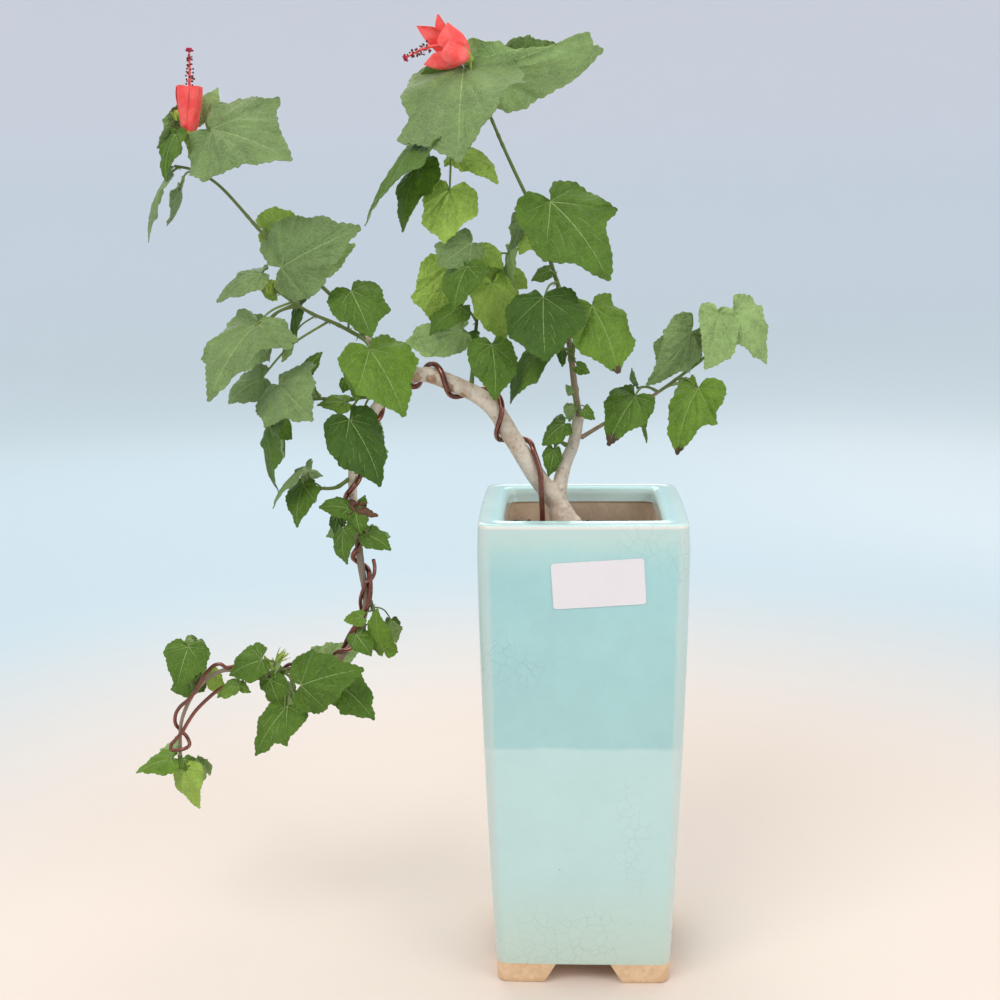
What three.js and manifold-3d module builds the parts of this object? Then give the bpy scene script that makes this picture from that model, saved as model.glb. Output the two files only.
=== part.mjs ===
// A turk's cap mallow trained as a cascading bonsai, wired with copper, in its tall square glazed pot.
// Millimetres, Z up, X to the right, Y to the back. Every place below is measured from the pot's axis
// at its foot. The whole is shifted at the end, so that its origin lies under the middle of its box.

import * as THREE from 'three';
import { mergeVertices } from 'three/addons/utils/BufferGeometryUtils.js';
import Module from 'manifold-3d';

const wasm = await Module();
wasm.setup();

// The pot: a square tower on four corner feet, widest just under its flat glazed rim
const POT_HEIGHT = 270;
const POT_FOOT_WIDTH = 98;
const POT_BELLY_WIDTH = 113.6;
const POT_BELLY_HEIGHT = 254;
const RIM_WIDTH = 14.5;
const RIM_EDGE = 2;
const POT_CORNER = 0.065;
const POT_BOW = 0.007;
const POT_SWELL = 0.45;
const FOOT_HEIGHT = 12;
const FOOT_GAP = 45;
const FOOT_GAP_TOP = 31;
const FLOOR_TOP = 21;
const INNER_FOOT_WIDTH = 76;
const DRAIN_DIAMETER = 16;

// The soil fills the pot to a little under its rim
const SOIL_TOP = 252;
const SOIL_EDGE = 4;

// What lies against something else keeps this much clear of it, and a leaf at least the second
const CLEAR = 0.3;
const LEAF_CLEAR = 0.21;

// The blank label on the front
const LABEL = { width: 49.5, height: 25.2, thick: 0.4, corner: 1.8, x: 8, z: 236.7, slope: 3.4 };

// Wood and wire
const WIRE_DIAMETER = 3;
const WIRE_PITCH = 32;
const LOWER_WIRE_PITCH = 37;
const WIRE_SLACK = 1.4;
const TWIG_DIAMETER = 2.3;
const PETIOLE_DIAMETER = 1.3;
const BUD_DIAMETER = 6.4;

// Leaves
const LEAF_THICK = 0.8;
const LEAF_ARCH = 0.09;
const LEAF_FOLD = 0.16;
const LOBED_FROM = 14;
const LOBED_FULLY = 34;
const SMALL_LEAF = 29;
const PETIOLE_SUNK = 2.2;
const DEEPEST = 55;

// Leaves on the far side: how far behind the twig, how large and how far out, as lowest and highest values
const FAR_DEPTH = [14, 34];
const FAR_SIZE = [0.55, 0.7];
const FAR_REACH = [0.25, 0.6];
const FAR_SWING = 12;

// The pot's axis lies this far to the right of the middle of the whole
const SHIFT_X = 79;

const FRONT = new THREE.Vector3(0, -1, 0);
const UP = new THREE.Vector3(0, 0, 1);
const FACING = new THREE.Vector3(0, -0.9, 0.44).normalize();

const vector = (point) => new THREE.Vector3(point[0], point[1], point[2]);
const blend = (a, b, share) => a + (b - a) * share;
const radians = THREE.MathUtils.degToRad;

/** A repeatable source of numbers from 0 to 1. */
function seeded(seed) {
  let state = seed >>> 0;
  return () => {
    state = (Math.imul(state, 1664525) + 1013904223) >>> 0;
    return state / 4294967296;
  };
}

/** The closed solid of a geometry, with its shared vertices merged. */
function solidOf(geometry) {
  geometry.deleteAttribute('normal');
  geometry.deleteAttribute('uv');
  const merged = mergeVertices(geometry, 1e-4);
  const mesh = new wasm.Mesh({
    numProp: 3,
    vertProperties: Float32Array.from(merged.attributes.position.array),
    triVerts: Uint32Array.from(merged.index.array),
  });
  return new wasm.Manifold(mesh);
}

/** The geometry of a solid. */
function geometryOf(solid) {
  const mesh = solid.getMesh();
  const geometry = new THREE.BufferGeometry();
  geometry.setAttribute('position', new THREE.BufferAttribute(Float32Array.from(mesh.vertProperties), 3));
  geometry.setIndex(new THREE.BufferAttribute(Uint32Array.from(mesh.triVerts), 1));
  geometry.computeVertexNormals();
  return geometry;
}

/** A square tower with rounded corners and slightly bowed sides, through layers of [height, width]. */
function tower(layers) {
  const outline = new THREE.Shape();
  const corner = 0.5 - POT_CORNER;
  for (let side = 0; side < 4; side += 1) {
    const turn = side * Math.PI / 2;
    const middle = new THREE.Vector2(0.5 + POT_BOW, 0).rotateAround(new THREE.Vector2(), turn);
    const centre = new THREE.Vector2(corner, corner).rotateAround(new THREE.Vector2(), turn);
    if (side === 0) outline.moveTo(middle.x, middle.y);
    else outline.lineTo(middle.x, middle.y);
    outline.absarc(centre.x, centre.y, POT_CORNER, turn, turn + Math.PI / 2, false);
  }
  outline.closePath();
  const steps = layers.length - 1;
  const settings = { depth: steps, steps, curveSegments: 2, bevelEnabled: false };
  const geometry = new THREE.ExtrudeGeometry(outline, settings);
  const place = geometry.attributes.position;
  for (let i = 0; i < place.count; i += 1) {
    const [height, width] = layers[Math.round(place.getZ(i))];
    place.setXYZ(i, place.getX(i) * width, place.getY(i) * width, height);
  }
  return solidOf(geometry);
}

/** The pot's outer width at a height: it widens upwards in a slight curve. */
function potWidth(height) {
  const share = Math.min(height / POT_BELLY_HEIGHT, 1);
  const swell = (part) => Math.sin(part * Math.PI * POT_SWELL);
  return blend(POT_FOOT_WIDTH, POT_BELLY_WIDTH, swell(share) / swell(1));
}

/** The width of the space inside the pot at a height. */
function innerWidth(height) {
  const mouth = POT_BELLY_WIDTH - 2 * RIM_WIDTH;
  return blend(INNER_FOOT_WIDTH, mouth, (height - FLOOR_TOP) / (POT_HEIGHT - FLOOR_TOP));
}

function makePot() {
  const layers = [[0, POT_FOOT_WIDTH - 2]];
  for (const height of [1.5, 70, 140, 200, POT_BELLY_HEIGHT]) layers.push([height, potWidth(height)]);
  const rim = POT_BELLY_WIDTH - 0.6;
  layers.push([POT_HEIGHT - RIM_EDGE, rim], [POT_HEIGHT - RIM_EDGE * 0.3, rim - RIM_EDGE * 0.6]);
  layers.push([POT_HEIGHT, rim - RIM_EDGE * 2]);
  const lip = innerWidth(POT_HEIGHT);
  const inside = tower([
    [FLOOR_TOP, INNER_FOOT_WIDTH],
    [POT_HEIGHT - RIM_EDGE, innerWidth(POT_HEIGHT - RIM_EDGE)],
    [POT_HEIGHT - RIM_EDGE * 0.3, lip + RIM_EDGE * 0.6],
    [POT_HEIGHT + 1, lip + RIM_EDGE * 3],
  ]);
  const gap = new THREE.Shape();
  gap.moveTo(-FOOT_GAP / 2, -1);
  gap.lineTo(FOOT_GAP / 2, -1);
  gap.lineTo(FOOT_GAP_TOP / 2, FOOT_HEIGHT);
  gap.lineTo(-FOOT_GAP_TOP / 2, FOOT_HEIGHT);
  gap.closePath();
  const tunnel = new THREE.ExtrudeGeometry(gap, { depth: POT_BELLY_WIDTH + 20, bevelEnabled: false });
  tunnel.translate(0, 0, -POT_BELLY_WIDTH / 2 - 10);
  tunnel.rotateX(Math.PI / 2);
  const crossTunnel = tunnel.clone().rotateZ(Math.PI / 2);
  const drain = new THREE.CylinderGeometry(DRAIN_DIAMETER / 2, DRAIN_DIAMETER / 2, FLOOR_TOP * 3, 12);
  drain.rotateX(Math.PI / 2);
  let pot = tower(layers).subtract(inside);
  for (const cutter of [tunnel, crossTunnel, drain]) pot = pot.subtract(solidOf(cutter));
  return pot;
}

function makeSoil() {
  const width = (height) => innerWidth(height) - 2 * CLEAR;
  const bottom = FLOOR_TOP + CLEAR;
  const edge = SOIL_TOP - SOIL_EDGE;
  return tower([[bottom, width(bottom)], [edge, width(edge)], [SOIL_TOP, width(edge) - 2 * SOIL_EDGE]]);
}

function makeLabel() {
  const { width, height, corner } = LABEL;
  const outline = new THREE.Shape();
  const x = width / 2 - corner;
  const y = height / 2 - corner;
  outline.absarc(x, y, corner, 0, Math.PI / 2, false);
  outline.absarc(-x, y, corner, Math.PI / 2, Math.PI, false);
  outline.absarc(-x, -y, corner, Math.PI, Math.PI * 1.5, false);
  outline.absarc(x, -y, corner, Math.PI * 1.5, Math.PI * 2, false);
  outline.closePath();
  const settings = { depth: LABEL.thick, curveSegments: 2, bevelEnabled: false };
  const plate = new THREE.ExtrudeGeometry(outline, settings);
  plate.rotateZ(radians(LABEL.slope));
  plate.rotateX(Math.PI / 2);
  const low = potWidth(LABEL.z - height / 2) / 2;
  const high = potWidth(LABEL.z + height / 2) / 2;
  plate.rotateX(Math.atan2(high - low, height));
  const face = potWidth(LABEL.z) * (0.5 + POT_BOW);
  plate.translate(LABEL.x, -face - CLEAR, LABEL.z);
  return solidOf(plate);
}

/** A curve through points, with a thickness at any share of its length. */
function makePath(points, girths) {
  const curve = new THREE.CatmullRomCurve3(points.map(vector), false, 'centripetal');
  curve.arcLengthDivisions = points.length * 40;
  const length = curve.getLength();
  const lengths = curve.getLengths();
  return {
    curve,
    length,
    shareOf: (index) => lengths[Math.round(index / (points.length - 1) * (lengths.length - 1))] / length,
    radius(share) {
      const next = Math.max(1, girths.findIndex(([at]) => at >= share));
      const [from, thick] = girths[next - 1];
      const [to, thin] = girths[next];
      return blend(thick, thin, THREE.MathUtils.clamp((share - from) / (to - from), 0, 1)) / 2;
    },
  };
}

/** The middle, and the two directions across, of a path at a share of its length. */
function stationOf(path, share, reference = FRONT) {
  const centre = path.curve.getPointAt(share);
  const along = path.curve.getTangentAt(share);
  const front = reference.clone().addScaledVector(along, -reference.dot(along)).normalize();
  const side = along.clone().cross(front);
  return { centre, along, front, side };
}

/** A solid round the path from one share to another: a closed cylinder bent along it. */
function limbSolid(path, from, to, sides, steps) {
  const chord = path.curve.getPointAt(to).sub(path.curve.getPointAt(from)).normalize();
  const reference = Math.abs(chord.y) > 0.75 ? UP : FRONT;
  const rod = new THREE.CylinderGeometry(1, 1, 1, sides, steps);
  const place = rod.attributes.position;
  for (let i = 0; i < place.count; i += 1) {
    const share = blend(from, to, place.getY(i) + 0.5);
    const { centre, front, side } = stationOf(path, share, reference);
    const radius = path.radius(share);
    centre.addScaledVector(side, place.getX(i) * radius).addScaledVector(front, place.getZ(i) * radius);
    place.setXYZ(i, centre.x, centre.y, centre.z);
  }
  return solidOf(rod);
}

/** A twig, petiole or stump through a few points. */
function rod(points, thick, thin, sides = 4, steps = 2 * (points.length - 1)) {
  return limbSolid(makePath(points, [[0, thick], [1, thin]]), 0, 1, sides, steps);
}

// The trunk and the path of the cascade: up to the left, over, down beside the pot and back to the left
const FORK = [-14, 0, 270];
const TRUNK_PATH = makePath(
  [[-5.5, 0, SOIL_TOP - 4], [-7.5, 0, SOIL_TOP + 1], [-11, 0, 262], FORK],
  [[0, 30], [0.2, 24], [0.34, 18.5], [0.6, 15.6], [1, 15]],
);
const CASCADE_POINTS = [
  FORK, [-25, -2, 285], [-39, -4, 308], [-52, -6, 328], [-72, -8, 339.5], [-88, -9, 344.5],
  [-104, -9, 337], [-118, -8, 321], [-127, -8, 302], [-129, -8, 278], [-126, -8, 238], [-124, -8, 210],
  [-137, -11, 184], [-163, -12, 176], [-186, -12, 172], [-207, -12, 174], [-222, -12, 164],
  [-233, -12, 144], [-235.5, -12, 121],
];
const CASCADE_GIRTHS = [
  [0, 11], [0.12, 10.2], [0.25, 9], [0.27, 7.4], [0.33, 6.1], [0.42, 5.2], [0.56, 4.2], [0.62, 4],
  [0.8, 2.9], [1, 2.2],
];
const CASCADE = makePath(CASCADE_POINTS, CASCADE_GIRTHS);
const UPRIGHT = makePath(
  [FORK, [-12.5, 1.5, 281], [-9.5, 3, 292], [-5, 4, 303], [-2, 4, 318]],
  [[0, 9.5], [0.3, 8.2], [0.6, 7], [1, 6.6]],
);
const SHOOT = makePath(
  [[-1.9, 4, 318.9], [-4, 4, 334], [-6, 4, 352], [-9, 4, 372], [-13, 4, 391]],
  [[0, 3.8], [1, 2.8]],
);
const CROWN_BOUGH = makePath(
  [[-88, -9, 344.5], [-98, -10, 349], [-110, -11, 357], [-119, -11, 365]],
  [[0, 6.4], [1, 4.4]],
);

// Where the limbs are cut: the forks' stumps, and the cascade's bends by the points of its path
const STUMP = 16;
const APEX_STUMP = 9;
const APEX = CASCADE.shareOf(5);
const OVER = CASCADE.shareOf(8);
const BEND = CASCADE.shareOf(11);
const TURN = CASCADE.shareOf(15);

function makeLimbs() {
  const clearOf = (path) => CLEAR / path.length;
  const stump = STUMP / CASCADE.length;
  const upStump = STUMP / UPRIGHT.length;
  const apexStump = APEX_STUMP / CROWN_BOUGH.length;
  const trunk = limbSolid(TRUNK_PATH, 0, 1, 12, 5)
    .add(limbSolid(CASCADE, 0, stump, 8, 2))
    .add(limbSolid(UPRIGHT, 0, upStump, 8, 2))
    .trimByPlane([0, 0, 1], SOIL_TOP + CLEAR);
  const apexEnd = APEX + APEX_STUMP / CASCADE.length;
  const rise = limbSolid(CASCADE, stump + clearOf(CASCADE), apexEnd, 8, 13)
    .add(limbSolid(CROWN_BOUGH, 0, apexStump, 8, 2));
  const snag = rod([[-136, -11, 185], [-138, -12, 180], [-138, -12, 176]], 2.6, 1.2);
  const stub = rod([[-128, -8, 270], [-121, -10, 267], [-113, -10, 264.5]], 4.4, 1.6, 5);
  const arch = limbSolid(CASCADE, apexEnd + clearOf(CASCADE), OVER, 7, 7);
  const drop = limbSolid(CASCADE, OVER + clearOf(CASCADE), BEND, 7, 9).add(stub);
  const sweep = limbSolid(CASCADE, BEND + clearOf(CASCADE), TURN, 7, 14).add(snag);
  const tip = limbSolid(CASCADE, TURN + clearOf(CASCADE), 1, 6, 10);
  const upright = limbSolid(UPRIGHT, upStump + clearOf(UPRIGHT), 1, 8, 4);
  const shoot = limbSolid(SHOOT, clearOf(SHOOT), 1, 6, 6);
  const crown = limbSolid(CROWN_BOUGH, apexStump + clearOf(CROWN_BOUGH), 1, 8, 4);
  return {
    trunk, bough_rise: rise, bough_arch: arch, bough_drop: drop, bough_sweep: sweep, bough_tip: tip,
    upright_stem: upright, upright_shoot: shoot, crown_bough: crown,
  };
}

/** Points of a wire wound round the cascade, from one share to another, by its angle from the front. */
function windingPoints(from, to, angleAt) {
  const points = [];
  const steps = Math.ceil(Math.abs(angleAt(to) - angleAt(from)) / WIRE_TURN_PER_STEP);
  for (let i = 0; i <= steps; i += 1) {
    const share = blend(from, to, i / steps);
    const { centre, front, side } = stationOf(CASCADE, share);
    const reach = CASCADE.radius(share) * 1.02 + WIRE_DIAMETER / 2 + WIRE_SLACK;
    const angle = radians(angleAt(share));
    centre.addScaledVector(front, Math.cos(angle) * reach).addScaledVector(side, Math.sin(angle) * reach);
    points.push(centre.toArray());
  }
  return points;
}

/** A wire of even thickness along points. */
function wireSolid(points) {
  const curve = new THREE.CatmullRomCurve3(points.map(vector), false, 'centripetal');
  const corners = [0, 1, 2, 3, 4].map((k) => {
    const turn = k * Math.PI * 2 / 5;
    return new THREE.Vector2(Math.cos(turn), Math.sin(turn)).multiplyScalar(WIRE_DIAMETER / 2 * 1.06);
  });
  const steps = points.length - 1;
  return solidOf(new THREE.ExtrudeGeometry(new THREE.Shape(corners), { steps, extrudePath: curve }));
}

// The first wire comes out of the soil beside the trunk and winds down to the bend.
// The second starts with a free end above it, winds on, loops round the tip and comes back.
const WIRE_MEETS_BOUGH = 34;
const WIRE_START = WIRE_MEETS_BOUGH / CASCADE.length;
const WIRE_START_ANGLE = 60;
const WIRE_TURN_PER_STEP = 57;
const WIRE_LEAD = [[-22, -9, SOIL_TOP - 2], [-22.4, -9.5, 266], [-23, -9.6, 280], [-23.6, -8.8, 290]];
const SECOND_START = CASCADE.shareOf(10.25);
const SECOND_END = CASCADE.shareOf(14.8);
const SECOND_LEAD = [[-118.6, -11, 240], [-117.4, -12.5, 235], [-119, -14, 231]];
const WIRE_TAIL = [
  [-209, -14.4, 176.5], [-213, -13.4, 178.5], [-217, -15.2, 175], [-222, -16, 168], [-228, -16, 157.5],
  [-233.5, -15, 152], [-237.5, -12.5, 147], [-238, -9.5, 142], [-235, -8.2, 136.5], [-231.4, -9, 132],
  [-230, -12, 128.5], [-232, -15.4, 126], [-237, -16, 124.6], [-241.6, -14.4, 125], [-240, -14.4, 129],
  [-236, -15.9, 134], [-232, -16, 140], [-227, -15.6, 149], [-219, -14.6, 158], [-210, -13.5, 164.5],
];

function makeWires() {
  const turnsAt = (start, angle, pitch) => (share) => angle + (share - start) * CASCADE.length / pitch * 360;
  const upper = windingPoints(WIRE_START, BEND, turnsAt(WIRE_START, WIRE_START_ANGLE, WIRE_PITCH));
  const lower = windingPoints(SECOND_START, SECOND_END, turnsAt(SECOND_START, 0, LOWER_WIRE_PITCH));
  return {
    wire_upper: wireSolid([...WIRE_LEAD, ...upper]).trimByPlane([0, 0, 1], SOIL_TOP + CLEAR),
    wire_lower: wireSolid([...SECOND_LEAD, ...lower, ...WIRE_TAIL]),
  };
}

/** Half of a blade's edge from notch to tip, as [along, across] in shares of its length and half width. */
function bladeEdge(lobed) {
  const round = [[-0.12, 0.42], [0.02, 0.88], [0.34, 1], [0.58, 0.8], [0.82, 0.38]];
  const cut = [[-0.16, 0.42], [-0.02, 0.84], [0.42, 1], [0.55, 0.72], [0.78, 0.36]];
  return round.map(([along, across], i) => [blend(along, cut[i][0], lobed), blend(across, cut[i][1], lobed)]);
}

// The plain outline of a small leaf, and the triangles of half a blade, with A and B on the midrib
const SMALL_EDGE = [[-0.1, 0.55], [0.12, 0.97], [0.52, 0.86]];
const SMALL_HALF = [[0, 1, 2], [0, 2, 'A'], [2, 3, 'A'], [3, 4, 'A']];
const LARGE_HALF = [
  [0, 1, 2], [0, 2, 'A'], [2, 3, 'A'], [3, 4, 'A'], ['A', 4, 'B'], [4, 5, 'B'], ['B', 5, 6],
];

/** The directions of a blade: along its midrib, out of its face, and across. */
function bladeFrame(leaf) {
  const base = new THREE.Vector3(leaf.x, leaf.y, leaf.z);
  const tip = new THREE.Vector3(leaf.tipX, leaf.y + leaf.reach, leaf.tipZ);
  const along = tip.clone().sub(base);
  const length = along.length();
  along.normalize();
  const flat = FACING.clone().addScaledVector(along, -FACING.dot(along)).normalize();
  const beside = flat.clone().cross(along);
  const turn = radians(leaf.turn);
  const face = flat.multiplyScalar(Math.cos(turn)).addScaledVector(beside, Math.sin(turn));
  const across = along.clone().cross(face);
  return { base, along, face, across, length };
}

/** A blade: a thin shell between its edge and one or two points of its midrib, folded along it and arched. */
function bladeSolid(leaf) {
  const { base, along, face, across, length } = bladeFrame(leaf);
  const small = leaf.behind || length < SMALL_LEAF;
  const lobed = THREE.MathUtils.clamp((length - LOBED_FROM) / (LOBED_FULLY - LOBED_FROM), 0, 1);
  const half = length * leaf.wide / 2;
  const edge = small ? SMALL_EDGE : bladeEdge(lobed);
  const rib = small ? [[0.42, 0]] : [[0.34, 0], [0.7, 0]];
  const outline = [[0, 0], ...edge, [1, 0], ...edge.slice().reverse().map(([t, w]) => [t, -w])];
  const middle = [...outline, ...rib].map(([t, w]) => {
    const lift = length * LEAF_ARCH * 4 * Math.max(t, 0) * (1 - t) - half * LEAF_FOLD * Math.abs(w);
    const point = base.clone().addScaledVector(along, t * length);
    return point.addScaledVector(across, w * half).addScaledVector(face, lift);
  });
  const count = middle.length;
  const rim = outline.length;
  const named = (key) => (key === 'A' ? rim : key === 'B' ? rim + 1 : key);
  const mirrored = (key) => (typeof key === 'string' ? key : (rim - key) % rim);
  const triangles = [];
  for (const [a, b, c] of small ? SMALL_HALF : LARGE_HALF) {
    for (const face3 of [[a, b, c].map(named), [a, c, b].map(mirrored).map(named)]) {
      triangles.push(...face3);
      triangles.push(...face3.reverse().map((i) => i + count));
    }
  }
  for (let i = 0; i < rim; i += 1) {
    const next = (i + 1) % rim;
    triangles.push(i, i + count, next + count, i, next + count, next);
  }
  const thick = Math.max(LEAF_THICK, length / 60) / 2;
  const points = [];
  for (const offset of [thick, -thick]) {
    for (const point of middle) points.push(...point.clone().addScaledVector(face, offset).toArray());
  }
  const geometry = new THREE.BufferGeometry();
  geometry.setAttribute('position', new THREE.BufferAttribute(Float32Array.from(points), 3));
  geometry.setIndex(triangles);
  return solidOf(geometry);
}

/** The place on a mass's twigs that a leaf springs from: the nearest, a little towards the root. */
function springPoint(paths, place) {
  let best = null;
  for (const path of paths) {
    for (let i = 0; i <= 40; i += 1) {
      const share = i / 40;
      const point = path.curve.getPointAt(share);
      const distance = point.distanceTo(place);
      if (!best || distance < best.distance) best = { path, share, distance };
    }
  }
  const towardRoot = best.share - best.distance * 0.35 / best.path.length;
  const share = Math.min(Math.max(towardRoot, TWIG_DIAMETER / best.path.length), 1);
  return best.path.curve.getPointAt(share);
}

/** A leaf with its petiole, whose ends are sunk in the twig and in the blade's midrib. */
function leafSolid(leaf, paths) {
  const { base, along, face, length } = bladeFrame(leaf);
  const root = springPoint(paths, base);
  const sunk = Math.min(PETIOLE_SUNK, length * 0.2);
  const end = base.clone().addScaledVector(along, sunk).addScaledVector(face, LEAF_ARCH * sunk * 0.8);
  const bend = root.clone().lerp(base, 0.6).addScaledVector(UP, root.distanceTo(base) * 0.1);
  const thick = Math.min(PETIOLE_DIAMETER, 0.6 + length * 0.03);
  const petiole = rod([root.toArray(), bend.toArray(), end.toArray()], thick * 1.15, thick, 3, 2);
  return bladeSolid(leaf).add(petiole);
}

const LEAF_FIELDS = ['x', 'z', 'tipX', 'tipZ', 'y', 'reach', 'turn', 'wide'];
const asLeaf = (row) => Object.fromEntries(LEAF_FIELDS.map((field, i) => [field, row[i]]));

/** Leaves on the far side: each lies behind a leaf that shows, smaller and turned by the seeded rule. */
function farLeaves(plan, paths) {
  const random = seeded(plan.seed);
  const showing = plan.leaves.map(asLeaf);
  showing.sort((a, b) => Math.hypot(b.tipX - b.x, b.tipZ - b.z) - Math.hypot(a.tipX - a.x, a.tipZ - a.z));
  return showing.slice(0, plan.far).map((front) => {
    const spring = springPoint(paths, new THREE.Vector3(front.x, front.y, front.z));
    const depth = spring.y + blend(...FAR_DEPTH, random());
    const size = blend(...FAR_SIZE, random());
    const swing = radians(blend(-FAR_SWING, FAR_SWING, random()));
    const dx = (front.tipX - front.x) * size;
    const dz = (front.tipZ - front.z) * size;
    const x = front.x + (front.tipX - front.x) * 0.14;
    const z = front.z + (front.tipZ - front.z) * 0.14;
    return {
      x,
      z,
      tipX: x + dx * Math.cos(swing) - dz * Math.sin(swing),
      tipZ: z + dx * Math.sin(swing) + dz * Math.cos(swing),
      y: depth,
      reach: Math.hypot(dx, dz) * blend(...FAR_REACH, random()),
      turn: 180 + front.turn,
      wide: 0.85,
      behind: true,
    };
  });
}

/** Whether a solid keeps clear of all the others. */
function keepsClear(solid, others) {
  const near = solid.boundingBox();
  return others.every((other) => {
    const box = other.boundingBox();
    const apart = [0, 1, 2].some((k) => near.min[k] > box.max[k] + 1 || box.min[k] > near.max[k] + 1);
    return apart || solid.minGap(other, CLEAR) > LEAF_CLEAR;
  });
}

/** A calyx and closed petals round an axis, with a column that stands out of them. */
function flowerSolids(flower) {
  const axis = vector(flower.tip).sub(vector(flower.base));
  const length = axis.length();
  const turn = new THREE.Quaternion().setFromUnitVectors(UP, axis.normalize());
  const place = (geometry) => solidOf(geometry.applyQuaternion(turn).translate(...flower.base));
  const profile = [
    [0, -1.2], [flower.wide * 0.2, 0], [flower.wide * 0.33, length * 0.3],
    [flower.wide * 0.42, length * 0.62], [flower.wide / 2, length * 0.95],
    [flower.wide * 0.42, length], [0, length * 0.97],
  ];
  const petals = new THREE.LatheGeometry(profile.map(([r, z]) => new THREE.Vector2(r, z)), 8);
  petals.rotateX(Math.PI / 2);
  return [place(petals)];
}

/** The column of a flower with its anthers and stigma: a thin rod with two knots. */
function columnSolids(points) {
  const last = vector(points[points.length - 1]);
  const before = vector(points[points.length - 2]);
  const knots = [last.toArray(), last.clone().lerp(before, 0.55).toArray()];
  const rods = [rod(points, 1.6, 1.3, 4)];
  for (const knot of knots) {
    const bead = new THREE.IcosahedronGeometry(1.9, 0);
    bead.translate(...knot);
    rods.push(solidOf(bead));
  }
  return rods;
}

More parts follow.
